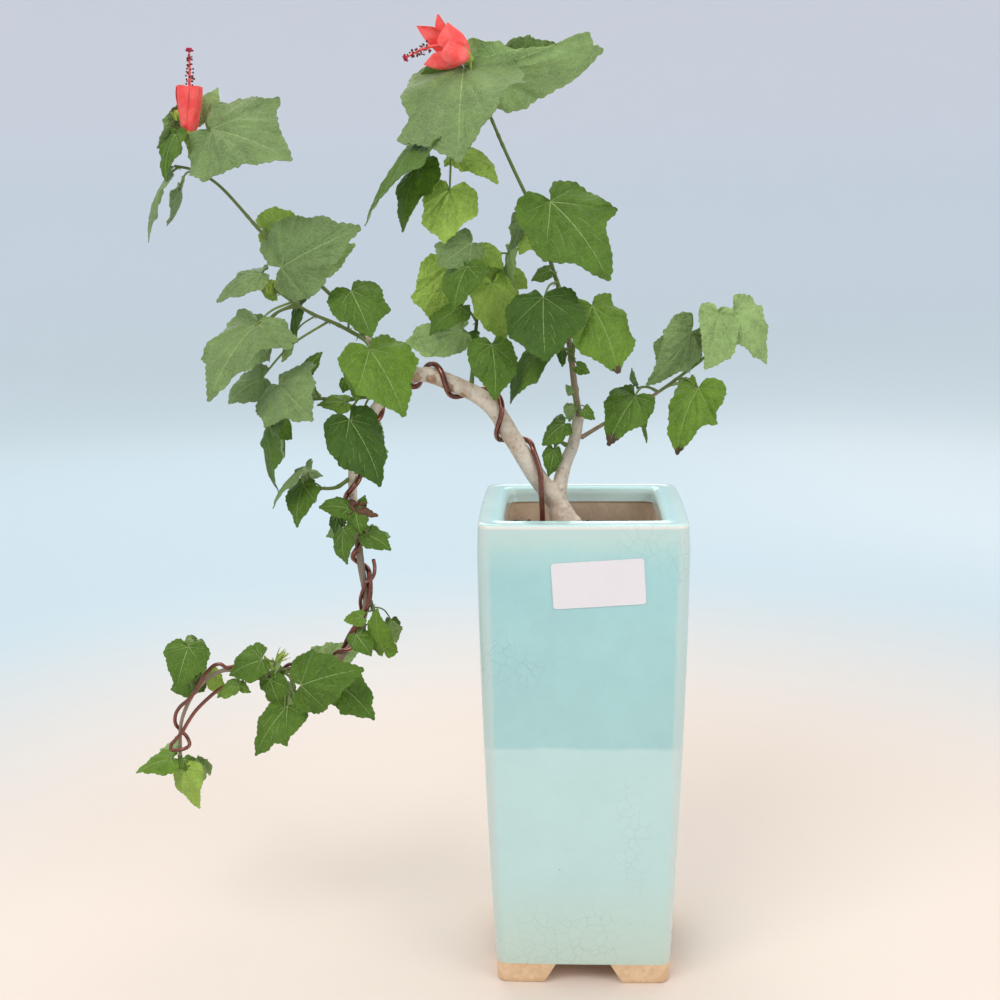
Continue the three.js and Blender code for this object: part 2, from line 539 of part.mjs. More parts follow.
// The masses of foliage. Each has a stem, twigs off it, and the leaves that show, as rows of the blade's
// foot (x, z), its tip (x, z), the foot's depth y, the tip's reach to the back, its turn in degrees, and
// its width as a share of its length.
const MASSES = [
  {
    name: 'foliage_top_left', seed: 11, far: 2,
    twigs: [
      [
        [-119.5, -9.7, 365.5], [-130, -7.5, 380], [-143, -9, 394], [-169, -12, 418],
        [-196, -16, 449], [-208, -18, 456], [-217, -19, 458],
      ],
      [[-206, -17.6, 455], [-207.4, -19, 462], [-207, -20, 470]],
      [[-207.6, -19, 463], [-210.6, -20, 474], [-213.4, -20, 483]],
    ],
    leaves: [
      [-195, 476, -149, 460, -24, -24, 0, 0.98], [-202, 481, -195, 499, -8, 4, 0, 0.7],
      [-213, 478, -218, 450, -23, -5, -36, 0.85], [-220, 452, -232, 418, -19, -6, -62, 0.72],
      [-213, 485, -226, 467, -13, -5, 62, 0.6], [-174, 424, -151, 429, -4, -4, -10, 0.95],
    ],
    flower: { base: [-207, -20, 469], tip: [-206, -20, 497], wide: 16 },
    column: [[-206, -20, 496], [-205.6, -20, 508], [-206, -20, 516]],
    buds: [[-213.6, -20, 484.5]],
  },
  {
    name: 'foliage_left_upper', seed: 12, far: 3,
    twigs: [
      [[-120.1, -12.9, 365.2], [-134, -14, 373], [-148, -13, 379], [-162, -12, 388], [-170, -12, 394]],
    ],
    leaves: [
      [-162, 404, -118, 424, -20, -8, -18, 0.9], [-175, 400, -201, 385, -10, 0, -28, 0.86],
      [-175, 378, -194, 340, -22, -28, -18, 0.95], [-176, 343, -198, 329, -11, 4, -18, 0.9],
      [-156, 387, -158, 362, -2, -3, -60, 0.85], [-162, 363, -167, 351, -3, 0, 65, 0.6],
      [-168, 389, -178, 396, -5, 4, 0, 0.9], [-125, 391, -113, 367, -17, -12, 8, 1.02],
      [-115, 360, -95, 326, -24, -16, 20, 0.98],
    ],
    buds: [[-171, -13, 396]],
  },
  {
    name: 'foliage_left_middle', seed: 13, far: 3,
    twigs: [
      [
        [-113.4, -10.6, 332.6], [-121, -13, 332.6], [-131, -14, 331],
        [-146, -14, 332], [-162, -13, 328], [-172, -11, 320],
      ],
    ],
    leaves: [
      [-165, 341, -143, 325, -24, -24, -5, 1.12], [-153, 346, -144, 357, -8, 3, 0, 0.6],
      [-173, 320, -164, 307, -6, 6, 20, 0.95], [-173, 318, -170, 280, -15, -3, -64, 0.85],
      [-127, 322, -109, 287, -26, -9, 28, 0.95], [-129, 330, -146, 329, -18, 1, -30, 0.9],
      [-130, 342, -132, 335, -13, 0, 30, 0.9], [-125, 334, -129, 353, -17, 0, 68, 0.6],
    ],
  },
  {
    name: 'foliage_left_small', seed: 14, far: 1,
    twigs: [[[-131.9, -9.2, 285], [-138, -12, 281.6], [-148, -14, 282], [-155, -16, 286]]],
    leaves: [
      [-153, 295, -171, 273, -20, -8, -60, 0.6], [-155, 284, -158, 262, -18, -9, -28, 0.92],
      [-157, 288, -146, 287, -8, 3, 40, 0.9],
    ],
  },
  {
    name: 'foliage_fall', seed: 15, far: 0,
    twigs: [[[-129.7, -10.9, 268], [-132, -16.5, 267], [-133, -18, 262]]],
    leaves: [
      [-130, 271, -146, 273, -20, -3, -24, 0.9], [-126, 270, -123, 257, -21, -1, -12, 0.95],
      [-133, 259, -132, 240, -20, -4, -38, 0.85], [-137, 266, -139, 254, -13, 0, -20, 0.75],
      [-121, 256, -107, 247, -17, -1, 24, 0.9], [-124, 271, -121, 278, -16, 0, 0, 0.8],
      [-137, 262, -146, 250, -9, 10, 150, 0.85],
    ],
  },
  {
    name: 'foliage_bend', seed: 16, far: 0,
    twigs: [[[-120.7, -8.4, 213.5], [-117.5, -11.5, 206], [-114, -15, 196]]],
    leaves: [
      [-124, 208, -135, 206, -19, 0, 0, 0.85], [-128, 198, -119, 187, -20, -5, 12, 0.95],
      [-112, 190, -116, 214, -23, 1, 42, 0.9], [-112, 200, -108, 186, -6, 8, 160, 0.85],
    ],
  },
  {
    name: 'foliage_low_fan', seed: 17, far: 2,
    twigs: [[[-174, -14.7, 173.5], [-171, -18, 176], [-177, -21, 183]]],
    leaves: [
      [-159, 171, -123, 184, -29, -8, 2, 0.92], [-138, 170, -120, 149, -24, -4, 26, 0.92],
      [-168, 157, -185, 133, -25, -10, -18, 0.92], [-178, 172, -171, 153, -21, 1, -25, 0.92],
      [-182, 184, -203, 173, -23, 5, -10, 0.9], [-198, 168, -210, 160, -19, 0, -36, 0.85],
      [-197, 168, -190, 163, -19, 0, 0, 0.7], [-177, 175, -169, 188, -19, -1, 40, 0.5],
      [-178, 178, -181, 186, -21, 0, 0, 0.6],
    ],
  },
  {
    name: 'foliage_tip_upper', seed: 18, far: 1,
    twigs: [[[-225.3, -11, 163], [-229, -7, 169], [-229, -9, 179], [-225, -15, 190]]],
    leaves: [
      [-225, 190, -230, 168, -18, -12, 0, 1], [-223, 168, -242, 158, -5, 4, 0, 0.85],
      [-217, 171, -211, 156, -5, 0, 30, 0.7],
    ],
  },
  {
    name: 'foliage_tip_lower', seed: 19, far: 1,
    twigs: [[[-235.6, -12, 120.6], [-236, -12, 117], [-236, -12, 113.6]]],
    leaves: [
      [-240, 120, -261, 112, -14, -2, -34, 0.88], [-232, 115, -224, 91, -15, -3, -38, 0.9],
      [-232, 121, -228, 112, -15.5, 0, 0, 0.8],
    ],
  },
  {
    name: 'foliage_crown_top', seed: 20, far: 5,
    twigs: [
      [
        [-13.1, 4, 391.5], [-17, 3, 404], [-23, 0, 425], [-31, -3, 442],
        [-39, -5, 459], [-46, -7, 475], [-52, -8, 490], [-58, -11, 506],
      ],
      [[-53, -8, 492], [-64, -8, 484], [-75, -10, 470]],
    ],
    leaves: [
      [-62, 506, -63, 457, -14, -38, -6, 1.05], [-54, 506, 11, 519, -6, 34, -71, 0.88],
      [-69, 505, -89, 497, -12, 8, 20, 0.9], [-80, 473, -114, 425, -25, -4, -64, 0.88],
      [-86, 456, -96, 423, -13, -8, -50, 0.85], [-84, 478, -88, 470, -5, 3, 0, 0.85],
      [-68, 461, -45, 449, -7, -4, 20, 0.92], [-70, 444, -73, 418, -19, -8, -6, 0.98],
      [-17, 437, 14, 397, -24, -18, 22, 0.92], [-34, 428, -39, 411, -13, -4, 62, 0.8],
      [-25, 423, -34, 409, -8, 0, 0, 0.95], [-18, 400, -28, 395, -5, 3, -20, 0.9],
      [-21, 387, -20, 356, -22, -22, -6, 1.08],
    ],
    flower: { base: [-59, -12, 508], tip: [-75, -17, 524], wide: 19 },
    petals: [
      [-68, 514, -74, 534, -16, 2, 10, 0.45], [-69, 513, -86, 526, -18, -2, 0, 0.5],
      [-66, 509, -83, 506, -18, -4, 0, 0.5],
    ],
    column: [[-70, -16, 514], [-80, -18, 513.5], [-92, -19, 510]],
  },
  {
    name: 'foliage_crown_middle', seed: 21, far: 4,
    twigs: [
      [[-61, -7, 340.7], [-59, -5, 363], [-57, -3, 385], [-57, -2, 400], [-60, -4, 414]],
    ],
    leaves: [
      [-59, 416, -75, 406, -20, -6, 10, 0.95], [-61, 404, -68, 383, -27, -12, -24, 0.95],
      [-73, 403, -82, 372, -12, 6, 40, 0.92], [-65, 382, -83, 368, -21, -2, -34, 0.9],
      [-55, 412, -43, 402, -10, 1, 14, 0.92], [-54, 405, -41, 391, -3, 4, 14, 0.92],
      [-49, 394, -44, 362, -7, -3, 32, 0.92], [-39, 412, -37, 390, -4, -1, -66, 0.7],
      [-40, 398, -30, 390, 5, 3, 0, 0.92], [-49, 362, -47, 334, -24, -8, 28, 0.92],
      [-57, 366, -63, 367, -9, 0, 0, 0.85], [-66, 369, -93, 361, -14, -2, 24, 0.9],
    ],
  },
  {
    name: 'foliage_crown_right', seed: 22, far: 2,
    twigs: [[[-5.2, 1.3, 351.2], [-5, -4, 357], [-3, -8, 368], [1, -10, 376]]],
    leaves: [
      [5, 382, 19, 347, -18, -14, 20, 0.96], [-20, 360, -40, 329, -10, -5, -56, 0.8],
      [-12, 358, -11, 348, -8, 0, 40, 0.7], [-3, 348, 4, 344, -5, 0, 0, 0.95],
    ],
  },
  {
    name: 'foliage_shoulder', seed: 23, far: 0,
    twigs: [[[-2.6, 1.2, 322.4], [-3, -2, 324], [-4, -5, 324]]],
    leaves: [
      [-7, 326, -7, 317, -6, 0, 20, 0.8], [1, 323, 7, 318, -4, 0, 0, 0.85], [-6, 333, -9, 338, -5, 0, 0, 0.8],
    ],
  },
  {
    name: 'foliage_fork', seed: 24, far: 1,
    twigs: [[[-10, 1.4, 303.5], [-14, -1, 306], [-15, -3, 303]]],
    leaves: [
      [-10, 316, -22, 304, -7, 0, -28, 0.92], [-16, 301, -19, 286, -4, 0, 20, 0.7],
    ],
  },
  {
    name: 'foliage_right', seed: 25, far: 4,
    twigs: [
      [
        [0.7, 4.2, 307.4], [13, 3, 315], [26, 2, 322], [37, 1, 329],
        [52, -1, 340], [68, -3, 353], [74, -5, 360],
      ],
      [[42, 0.4, 333], [36, -3, 336], [30, -6, 336]],
    ],
    leaves: [
      [29, 332, 14, 306, -13, -8, -24, 0.96], [29, 338, 27, 347, -7, 0, 55, 0.5],
      [31, 320, 36, 305, -6, 0, 55, 0.5], [63, 337, 50, 303, -17, -14, -38, 0.96],
      [59, 367, 35, 338, -9, -6, 44, 0.86], [73, 377, 66, 347, -15, -8, 18, 1],
      [83, 377, 102, 349, -2, 2, 20, 1.1],
    ],
  },
];

/** One mass: twigs, leaves and blossom fused into one body, clear of all that is there already. */
function growMass(plan, taken) {
  const paths = plan.twigs.map((points, i) => {
    const thick = i === 0 ? TWIG_DIAMETER : TWIG_DIAMETER * 0.75;
    return makePath(points, [[0, thick], [1, thick * 0.65]]);
  });
  const parts = paths.map((path, i) => limbSolid(path, 0, 1, 5, Math.ceil(1.4 * (plan.twigs[i].length - 1))));
  for (const leaf of [...plan.leaves.map(asLeaf), ...farLeaves(plan, paths)]) {
    const solid = leafSolid(leaf, paths);
    const box = solid.boundingBox();
    const inSpace = box.min[1] > -DEEPEST && box.max[1] < DEEPEST;
    const others = leaf.behind ? [...taken, ...parts.slice(paths.length)] : taken;
    if (inSpace && keepsClear(solid, others)) parts.push(solid);
  }
  if (plan.flower) parts.push(...flowerSolids(plan.flower), ...columnSolids(plan.column));
  for (const row of plan.petals ?? []) parts.push(bladeSolid(asLeaf(row)));
  for (const place of plan.buds ?? []) {
    parts.push(solidOf(new THREE.IcosahedronGeometry(BUD_DIAMETER / 2, 0).translate(...place)));
  }
  const bodies = wasm.Manifold.union(parts).decompose();
  bodies.sort((a, b) => b.volume() - a.volume());
  return bodies[0];
}

/** A plain material. */
function material(name, color, roughness, metalness = 0) {
  return new THREE.MeshStandardMaterial({ name, color, roughness, metalness });
}

const MATERIALS = {
  pot: material('turquoise glaze', 0xa9d3d0, 0.12),
  soil: material('potting soil', 0x3a2a20, 0.95),
  label: material('white label', 0xece4e6, 0.5),
  bark: material('pale bark', 0xcdc3b4, 0.85),
  wire: material('copper-coloured wire', 0x7a4032, 0.35, 0.8),
  leaf: material('leaf green', 0x5d8a33, 0.6),
};

const plant = new THREE.Group();

function addMesh(name, solid, finish) {
  const mesh = new THREE.Mesh(geometryOf(solid), finish);
  mesh.name = name;
  plant.add(mesh);
}

addMesh('pot', makePot(), MATERIALS.pot);
addMesh('soil', makeSoil(), MATERIALS.soil);
addMesh('label', makeLabel(), MATERIALS.label);

const taken = [];
for (const [name, solid] of Object.entries(makeLimbs())) {
  addMesh(name, solid, MATERIALS.bark);
  taken.push(solid);
}
for (const [name, solid] of Object.entries(makeWires())) {
  addMesh(name, solid, MATERIALS.wire);
  taken.push(solid);
}
for (const plan of MASSES) {
  const body = growMass(plan, taken);
  addMesh(plan.name, body, MATERIALS.leaf);
  taken.push(body);
}

plant.position.set(SHIFT_X, 0, 0);

export default plant;
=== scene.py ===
"""A turk's cap mallow trained as a cascading bonsai, wired, in its tall turquoise pot.

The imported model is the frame. Here it gets its glaze, soil, bark, training wire, leaves and flowers, and a
plain studio. Places are millimetres from the pot's axis at its foot, X to the right, Y to the back, Z up.
"""

import math
import random

import bmesh
import bpy
import numpy as np
from mathutils import Matrix, Quaternion, Vector, noise
from mathutils.bvhtree import BVHTree


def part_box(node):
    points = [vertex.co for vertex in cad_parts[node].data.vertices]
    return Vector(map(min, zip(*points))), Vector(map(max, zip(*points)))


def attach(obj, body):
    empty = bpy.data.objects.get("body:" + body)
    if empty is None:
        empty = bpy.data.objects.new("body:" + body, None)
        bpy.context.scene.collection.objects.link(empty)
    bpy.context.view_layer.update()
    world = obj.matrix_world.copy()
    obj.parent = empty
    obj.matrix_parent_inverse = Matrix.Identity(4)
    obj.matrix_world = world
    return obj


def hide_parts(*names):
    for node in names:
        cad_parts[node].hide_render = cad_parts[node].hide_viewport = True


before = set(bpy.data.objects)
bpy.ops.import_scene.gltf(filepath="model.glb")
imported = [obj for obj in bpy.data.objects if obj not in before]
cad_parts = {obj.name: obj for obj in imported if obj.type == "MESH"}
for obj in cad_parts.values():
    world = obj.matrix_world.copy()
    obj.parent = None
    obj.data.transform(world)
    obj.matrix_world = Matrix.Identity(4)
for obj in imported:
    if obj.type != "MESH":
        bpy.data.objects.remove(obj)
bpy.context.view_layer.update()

bl_info = {
    "name": "Cascade Bonsai",
    "version": (1, 0, 0),
    "blender": (4, 5, 0),
    "location": "View3D > Sidebar > Bonsai",
    "description": "Builds a wired cascade bonsai in a tall square glazed pot round its packed model",
    "category": "Object",
}

MM = 0.001
POT_LOW, POT_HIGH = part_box("pot")
AXIS = Vector(((POT_LOW.x + POT_HIGH.x) / 2, (POT_LOW.y + POT_HIGH.y) / 2, 0))
POT_HEIGHT = POT_HIGH.z / MM
SOIL_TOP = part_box("soil")[1].z / MM
BODY = "root"

# Pot, with corner and bow as shares of its width
POT_BELLY_HEIGHT = 254
POT_SWELL = 0.45
POT_CORNER = 0.065
POT_BOW = 0.007
FOOT_HEIGHT = 12
FOOT_GAP = 45
FOOT_GAP_TOP = 31
FLOOR_TOP = 21
INNER_FOOT_WIDTH = 76
INNER_MOUTH_WIDTH = 84.6
DRAIN_DIAMETER = 16
GLAZED_LIP = 8.7
RIM_INNER_ROUND = 4.2
GLAZE_THICK = 0.35

# Finishes of the pot's faces
GLAZED = 0
BARE = 1

# Leaves, twigs and wire
TWIG_DIAMETER = 2.3
LEAF_ARCH = 0.09
LEAF_FOLD = 0.16
LOBED_FROM = 14
LOBED_FULLY = 34
UPPER_WIRE_DIAMETER = 3.1
LOWER_WIRE_DIAMETER = 2.2
WIRE_REST = 0.1

FRONT = Vector((0, -1, 0))
UP = Vector((0, 0, 1))
FACING = Vector((0, -0.9, 0.44)).normalized()


def blend(low, high, share):
    return low + (high - low) * share


def clamp(value, low=0.0, high=1.0):
    return max(low, min(high, value))


def colour(red, green, blue):
    """A colour of 0 to 255 as the eye reads it, in the linear values that shaders take."""
    def linear(value):
        value /= 255
        return value / 12.92 if value <= 0.04045 else ((value + 0.055) / 1.055) ** 2.4
    return (linear(red), linear(green), linear(blue), 1.0)


def colour_property(name, description, *shade):
    return bpy.props.FloatVectorProperty(
        name=name, description=description, default=colour(*shade)[:3], subtype="COLOR", size=3, min=0, max=1,
    )


def length_property(name, description, millimetres):
    return bpy.props.FloatProperty(
        name=name, description=description, default=millimetres * MM, unit="LENGTH", min=0,
    )


# What a user would change


class PotSettings(bpy.types.PropertyGroup):
    """Sizes and colours of the pot, its soil and its label."""

    foot_width: length_property("Foot width", "Width of the pot at its feet", 98)
    belly_width: length_property("Belly width", "Width of the pot just under its rim", 113.6)
    rim_round: length_property("Rim rounding", "Radius of the rim's outer edge", 2.0)
    glaze: colour_property("Glaze", "Main colour of the glaze", 167, 208, 206)
    # Painted reflection: the glaze of the pot's lower part is set lighter than the glaze itself, for the pale
    # floor it mirrors
    lower_glaze_painted_reflection: colour_property("Thin glaze", "Glaze lower down, where it is thinner", 190, 220, 217)
    foot_glaze: colour_property("Glaze at the foot", "Greener glaze near the feet", 194, 214, 201)
    worn_glaze: colour_property("Glaze on edges", "Where the glaze breaks on corners", 206, 212, 204)
    clay: colour_property("Clay", "Bare clay at the feet and inside", 228, 200, 170)
    soil: colour_property("Soil", "Moist potting soil", 66, 46, 34)
    label: colour_property("Label", "The blank sticker", 231, 223, 224)


class WoodSettings(bpy.types.PropertyGroup):
    """Bark, young wood and training wire."""

    grain: length_property("Bark cell", "Size of the cells that the bark's skin is made of", 0.5)
    relief: bpy.props.FloatProperty(
        name="Bark relief", description="Height of the bark's ridges, as a share of the limb's radius",
        default=0.05, min=0, max=0.3, subtype="FACTOR",
    )
    bark: colour_property("Bark", "Pale bark of trunk and boughs", 222, 206, 188)
    shadow: colour_property("Bark in folds", "Darker bark of folds and scars", 178, 146, 112)
    young: colour_property("Young wood", "Brown wood of the upright shoot", 150, 128, 104)
    wire: colour_property("Wire", "Copper-brown training wire", 140, 78, 60)


class LeafSettings(bpy.types.PropertyGroup):
    """Leaves, twigs and their colours."""

    tooth: length_property("Tooth", "Length of one tooth of a leaf's edge", 3.1)
    thick: length_property("Thickness", "Thickness of a leaf", 0.4)
    far_leaves: bpy.props.IntProperty(
        name="More leaves behind", default=2, min=0, max=10,
        description="Leaves that each mass has at its back beyond those of the model",
    )
    # The leaf tones are the leaves' own greens and also painted light and painted shade: lit leaves have
    # lighter copies of the green, shaded ones darker copies
    bright: colour_property("Bright leaves", "Fresh green", 98, 129, 38)
    mid: colour_property("Green leaves", "Middle green", 80, 110, 30)
    dark: colour_property("Dark leaves", "Deep green", 63, 93, 24)
    # Partly painted sheen: the grey-green tone is lighter for the light that these downy leaves catch
    sheen: colour_property("Downy leaves", "Grey-green leaves that catch the light", 113, 135, 79)
    # Painted light: the yellow-green tone stands for light shining through the leaves from behind
    lit: colour_property("Lit leaves", "Yellow-green leaves with light behind them", 150, 177, 74)
    # Also given to the upper faces of some leaves as painted light, to make them lighter
    pale: colour_property("Undersides", "Pale green undersides", 138, 163, 98)
    vein: colour_property("Veins", "Pale raised veins", 152, 172, 106)
    twig: colour_property("Green twigs", "Green bark of this year's twigs", 98, 114, 50)


class FlowerSettings(bpy.types.PropertyGroup):
    """Flowers and buds."""

    petal: colour_property("Petals", "Coral red", 240, 62, 56)
    petal_edge: colour_property("Petal edges", "Lighter red at the edges", 250, 112, 104)
    calyx: colour_property("Calyx", "Yellow-green calyx and bracts", 158, 176, 70)
    anther: colour_property("Anthers", "Dark red anthers", 104, 26, 30)
    stigma: colour_property("Stigma", "Crimson stigma", 176, 24, 62)


class StageSettings(bpy.types.PropertyGroup):
    """Camera, floor and light."""

    lens: bpy.props.FloatProperty(name="Lens", description="Length in millimetres", default=51.94, min=1)
    floor: colour_property("Floor", "Warm pale floor round the pot", 227, 213, 201)
    far: colour_property("Far floor", "Cooler pale floor farther out", 192, 209, 216)
    wall: colour_property("Wall", "Pale blue wall behind", 199, 209, 221)
    high_wall: colour_property("High wall", "Greyer wall higher up", 208, 211, 220)
    glow: colour_property("Glow", "Even light that the lit wall gives off", 94, 94, 93)
    light: bpy.props.FloatProperty(name="Light", description="Strength of the soft boxes", default=1.0, min=0)


# Curves, tubes and pieces


class Path:
    """A smooth curve through points, with a thickness at any share of its length."""

    SAMPLES = 40

    def __init__(self, points, girths):
        self.points = [Vector(point) for point in points]
        self.girths = girths
        count = (len(points) - 1) * self.SAMPLES
        places = [self.through(i / self.SAMPLES) for i in range(count + 1)]
        self.lengths = [0.0]
        for before, after in zip(places, places[1:]):
            self.lengths.append(self.lengths[-1] + (after - before).length)
        self.length = self.lengths[-1]

    def through(self, along):
        """The place at a number of spans along the points."""
        points = self.points
        i = min(int(along), len(points) - 2)
        share = along - i
        p1, p2 = points[i], points[i + 1]
        p0 = points[i - 1] if i else p1 * 2 - p2
        p3 = points[i + 2] if i + 2 < len(points) else p2 * 2 - p1
        d0, d1, d2 = (max((b - a).length, 1e-9) ** 0.5 for a, b in ((p0, p1), (p1, p2), (p2, p3)))
        leave = ((p1 - p0) / d0 - (p2 - p0) / (d0 + d1) + (p2 - p1) / d1) * d1
        reach = ((p2 - p1) / d1 - (p3 - p1) / (d1 + d2) + (p3 - p2) / d2) * d1
        square, cube = share ** 2, share ** 3
        return (
            p1 * (2 * cube - 3 * square + 1) + leave * (cube - 2 * square + share)
            + p2 * (3 * square - 2 * cube) + reach * (cube - square)
        )

    def at(self, share):
        """The place at a share of the length."""
        target = clamp(share) * self.length
        spans = np.interp(target, self.lengths, range(len(self.lengths)))
        return self.through(spans / self.SAMPLES)

    def along(self, share):
        low, high = max(share - 0.002, 0), min(share + 0.002, 1)
        return (self.at(high) - self.at(low)).normalized()

    def radius(self, share):
        return float(np.interp(share, *zip(*self.girths))) / 2

    def places(self, step, start=0.0, end=1.0):
        """Places and radii from one share to another, a step apart."""
        count = max(2, math.ceil((end - start) * self.length / step))
        shares = [blend(start, end, i / count) for i in range(count + 1)]
        return [self.at(share) for share in shares], [self.radius(share) for share in shares]


def round_steps(count):
    return [math.tau * i / count for i in range(count)]


def turned(turn, reach, height):
    """A point at an angle round the upright, out from it and up along it."""
    return Vector((math.cos(turn) * reach, math.sin(turn) * reach, height))


def tube_faces(levels, sides):
    """Faces of a closed tube of rings, ring by ring, and then its two ends."""
    faces = []
    for i in range(levels - 1):
        for k in range(sides):
            near, far = i * sides + k, i * sides + (k + 1) % sides
            faces.append((near, far, far + sides, near + sides))
    faces.append(tuple(range(sides - 1, -1, -1)))
    faces.append(tuple(range((levels - 1) * sides, levels * sides)))
    return faces


def slab_faces(columns, rows):
    """Faces of a slab between two grids of points, the first one on top: top, underside and rim."""
    wide = columns + 1
    per = wide * (rows + 1)
    top = []
    for j in range(rows):
        for i in range(columns):
            a = j * wide + i
            top.append((a, a + 1, a + wide + 1, a + wide))
    under = [tuple(k + per for k in reversed(face)) for face in top]
    rim = list(range(wide)) + [j * wide + columns for j in range(1, rows + 1)]
    rim += [rows * wide + i for i in range(columns - 1, -1, -1)] + [j * wide for j in range(rows - 1, 0, -1)]
    return top + under + [(b, a, a + per, b + per) for a, b in zip(rim, rim[1:] + rim[:1])]


def sweep(places, radii, sides, flat=1.0, lead=None):
    """Corners and faces of a closed tube through places. The section's second direction may be flattened."""
    count = len(places)
    ways = [(places[min(i + 1, count - 1)] - places[max(i - 1, 0)]).normalized() for i in range(count)]
    first = Vector(lead) if lead is not None else ways[0].orthogonal()
    first = (first - ways[0] * first.dot(ways[0])).normalized()
    corners = []
    for i in range(count):
        if i:
            first = ways[i - 1].rotation_difference(ways[i]) @ first
        second = ways[i].cross(first)
        for turn in round_steps(sides):
            spread = first * math.cos(turn) + second * (math.sin(turn) * flat)
            corners.append(places[i] + spread * radii[i])
    return corners, tube_faces(count, sides)


def rounded(places, radii, share=0.7):
    """The same run with its ends drawn in, so that a tube through it ends in a dome."""
    start, end = (places[0] - places[1]).normalized(), (places[-1] - places[-2]).normalized()
    places = [places[0] + start * radii[0] * share * 0.6, *places, places[-1] + end * radii[-1] * share * 0.6]
    return places, [radii[0] * 0.45, *radii, radii[-1] * 0.45]


class Shape:
    """Corners in millimetres, faces, and the finish of each face, gathered for one piece."""

    def __init__(self):
        self.corners = []
        self.faces = []
        self.finishes = []

    def add(self, corners, faces, finish=0):
        start = len(self.corners)
        self.corners.extend(corners)
        self.faces.extend(tuple(i + start for i in face) for face in faces)
        self.finishes.extend([finish] * len(faces))

    def mesh(self, name, scale=MM):
        mesh = bpy.data.meshes.new(name)
        shift = AXIS if scale == MM else Vector()
        mesh.from_pydata([shift + Vector(corner) * scale for corner in self.corners], [], self.faces)
        mesh.polygons.foreach_set("material_index", self.finishes)
        mesh.update()
        return mesh


def new_object(name, data):
    """An object that is linked into the scene."""
    made = bpy.data.objects.new(name, data)
    bpy.context.scene.collection.objects.link(made)
    return made


def make_piece(name, mesh, materials, nodes=(), sharp=None):
    """A piece of the object from a mesh, in its place on the body."""
    if not mesh.materials:
        for material in materials:
            mesh.materials.append(material)
    mesh.shade_smooth()
    if sharp:
        mesh.set_sharp_from_angle(angle=math.radians(sharp))
    piece = new_object(name, mesh)
    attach(piece, BODY)
    if nodes:
        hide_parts(*nodes)
    return piece


def modified(mesh, *modifiers):
    """The mesh as it is after modifiers, each given as its kind and its settings."""
    carrier = new_object("carrier", mesh)
    for kind, settings in modifiers:
        modifier = carrier.modifiers.new(kind.title(), kind)
        for key, value in settings.items():
            setattr(modifier, key, value)
    graph = bpy.context.evaluated_depsgraph_get()
    result = bpy.data.meshes.new_from_object(carrier.evaluated_get(graph))
    bpy.data.objects.remove(carrier)
    return result


# Materials

# Colours of small marks on the pot and the plant, and of painted light on the pot's rim
# Painted sheen: the top of the rim is made lighter, for the light that falls on it from above
PAINTED_RIM_SHEEN = colour(184, 229, 227)
# Painted light: a paler glaze on the inner rounded edge of the rim, which offsets the shade inside the pot's
# mouth
LIP_PAINTED_LIGHT = colour(216, 236, 230)
THIN_EDGE = colour(236, 222, 210)
CRACKLE = colour(120, 140, 122)
PIT = colour(92, 94, 80)
RUST = colour(176, 140, 104)
FIRED_CLAY = (colour(244, 212, 172), colour(214, 172, 128))
CLAY_GRIT = colour(150, 110, 76)
SOIL_BITS = colour(134, 112, 88)
SOIL_STAIN = colour(112, 88, 66)
TORN_WOOD = (colour(188, 148, 108), colour(128, 92, 62))

# Heights in millimetres at which the glaze starts to change and at which the change is complete
# Painted reflection: below this wavy line the glaze is painted lighter, for the floor reflected in it
PAINTED_REFLECTION_LINE = (143, 146)
FOOT_TINT = (75, 12)
RIM_TINT = (240, 266)
# Heights over which the rim's top takes its painted sheen
RIM_TOP = (268.2, 269.4)
BREAK_BAND = (254, 266)
CRACKED_FOOT = (52, 18)


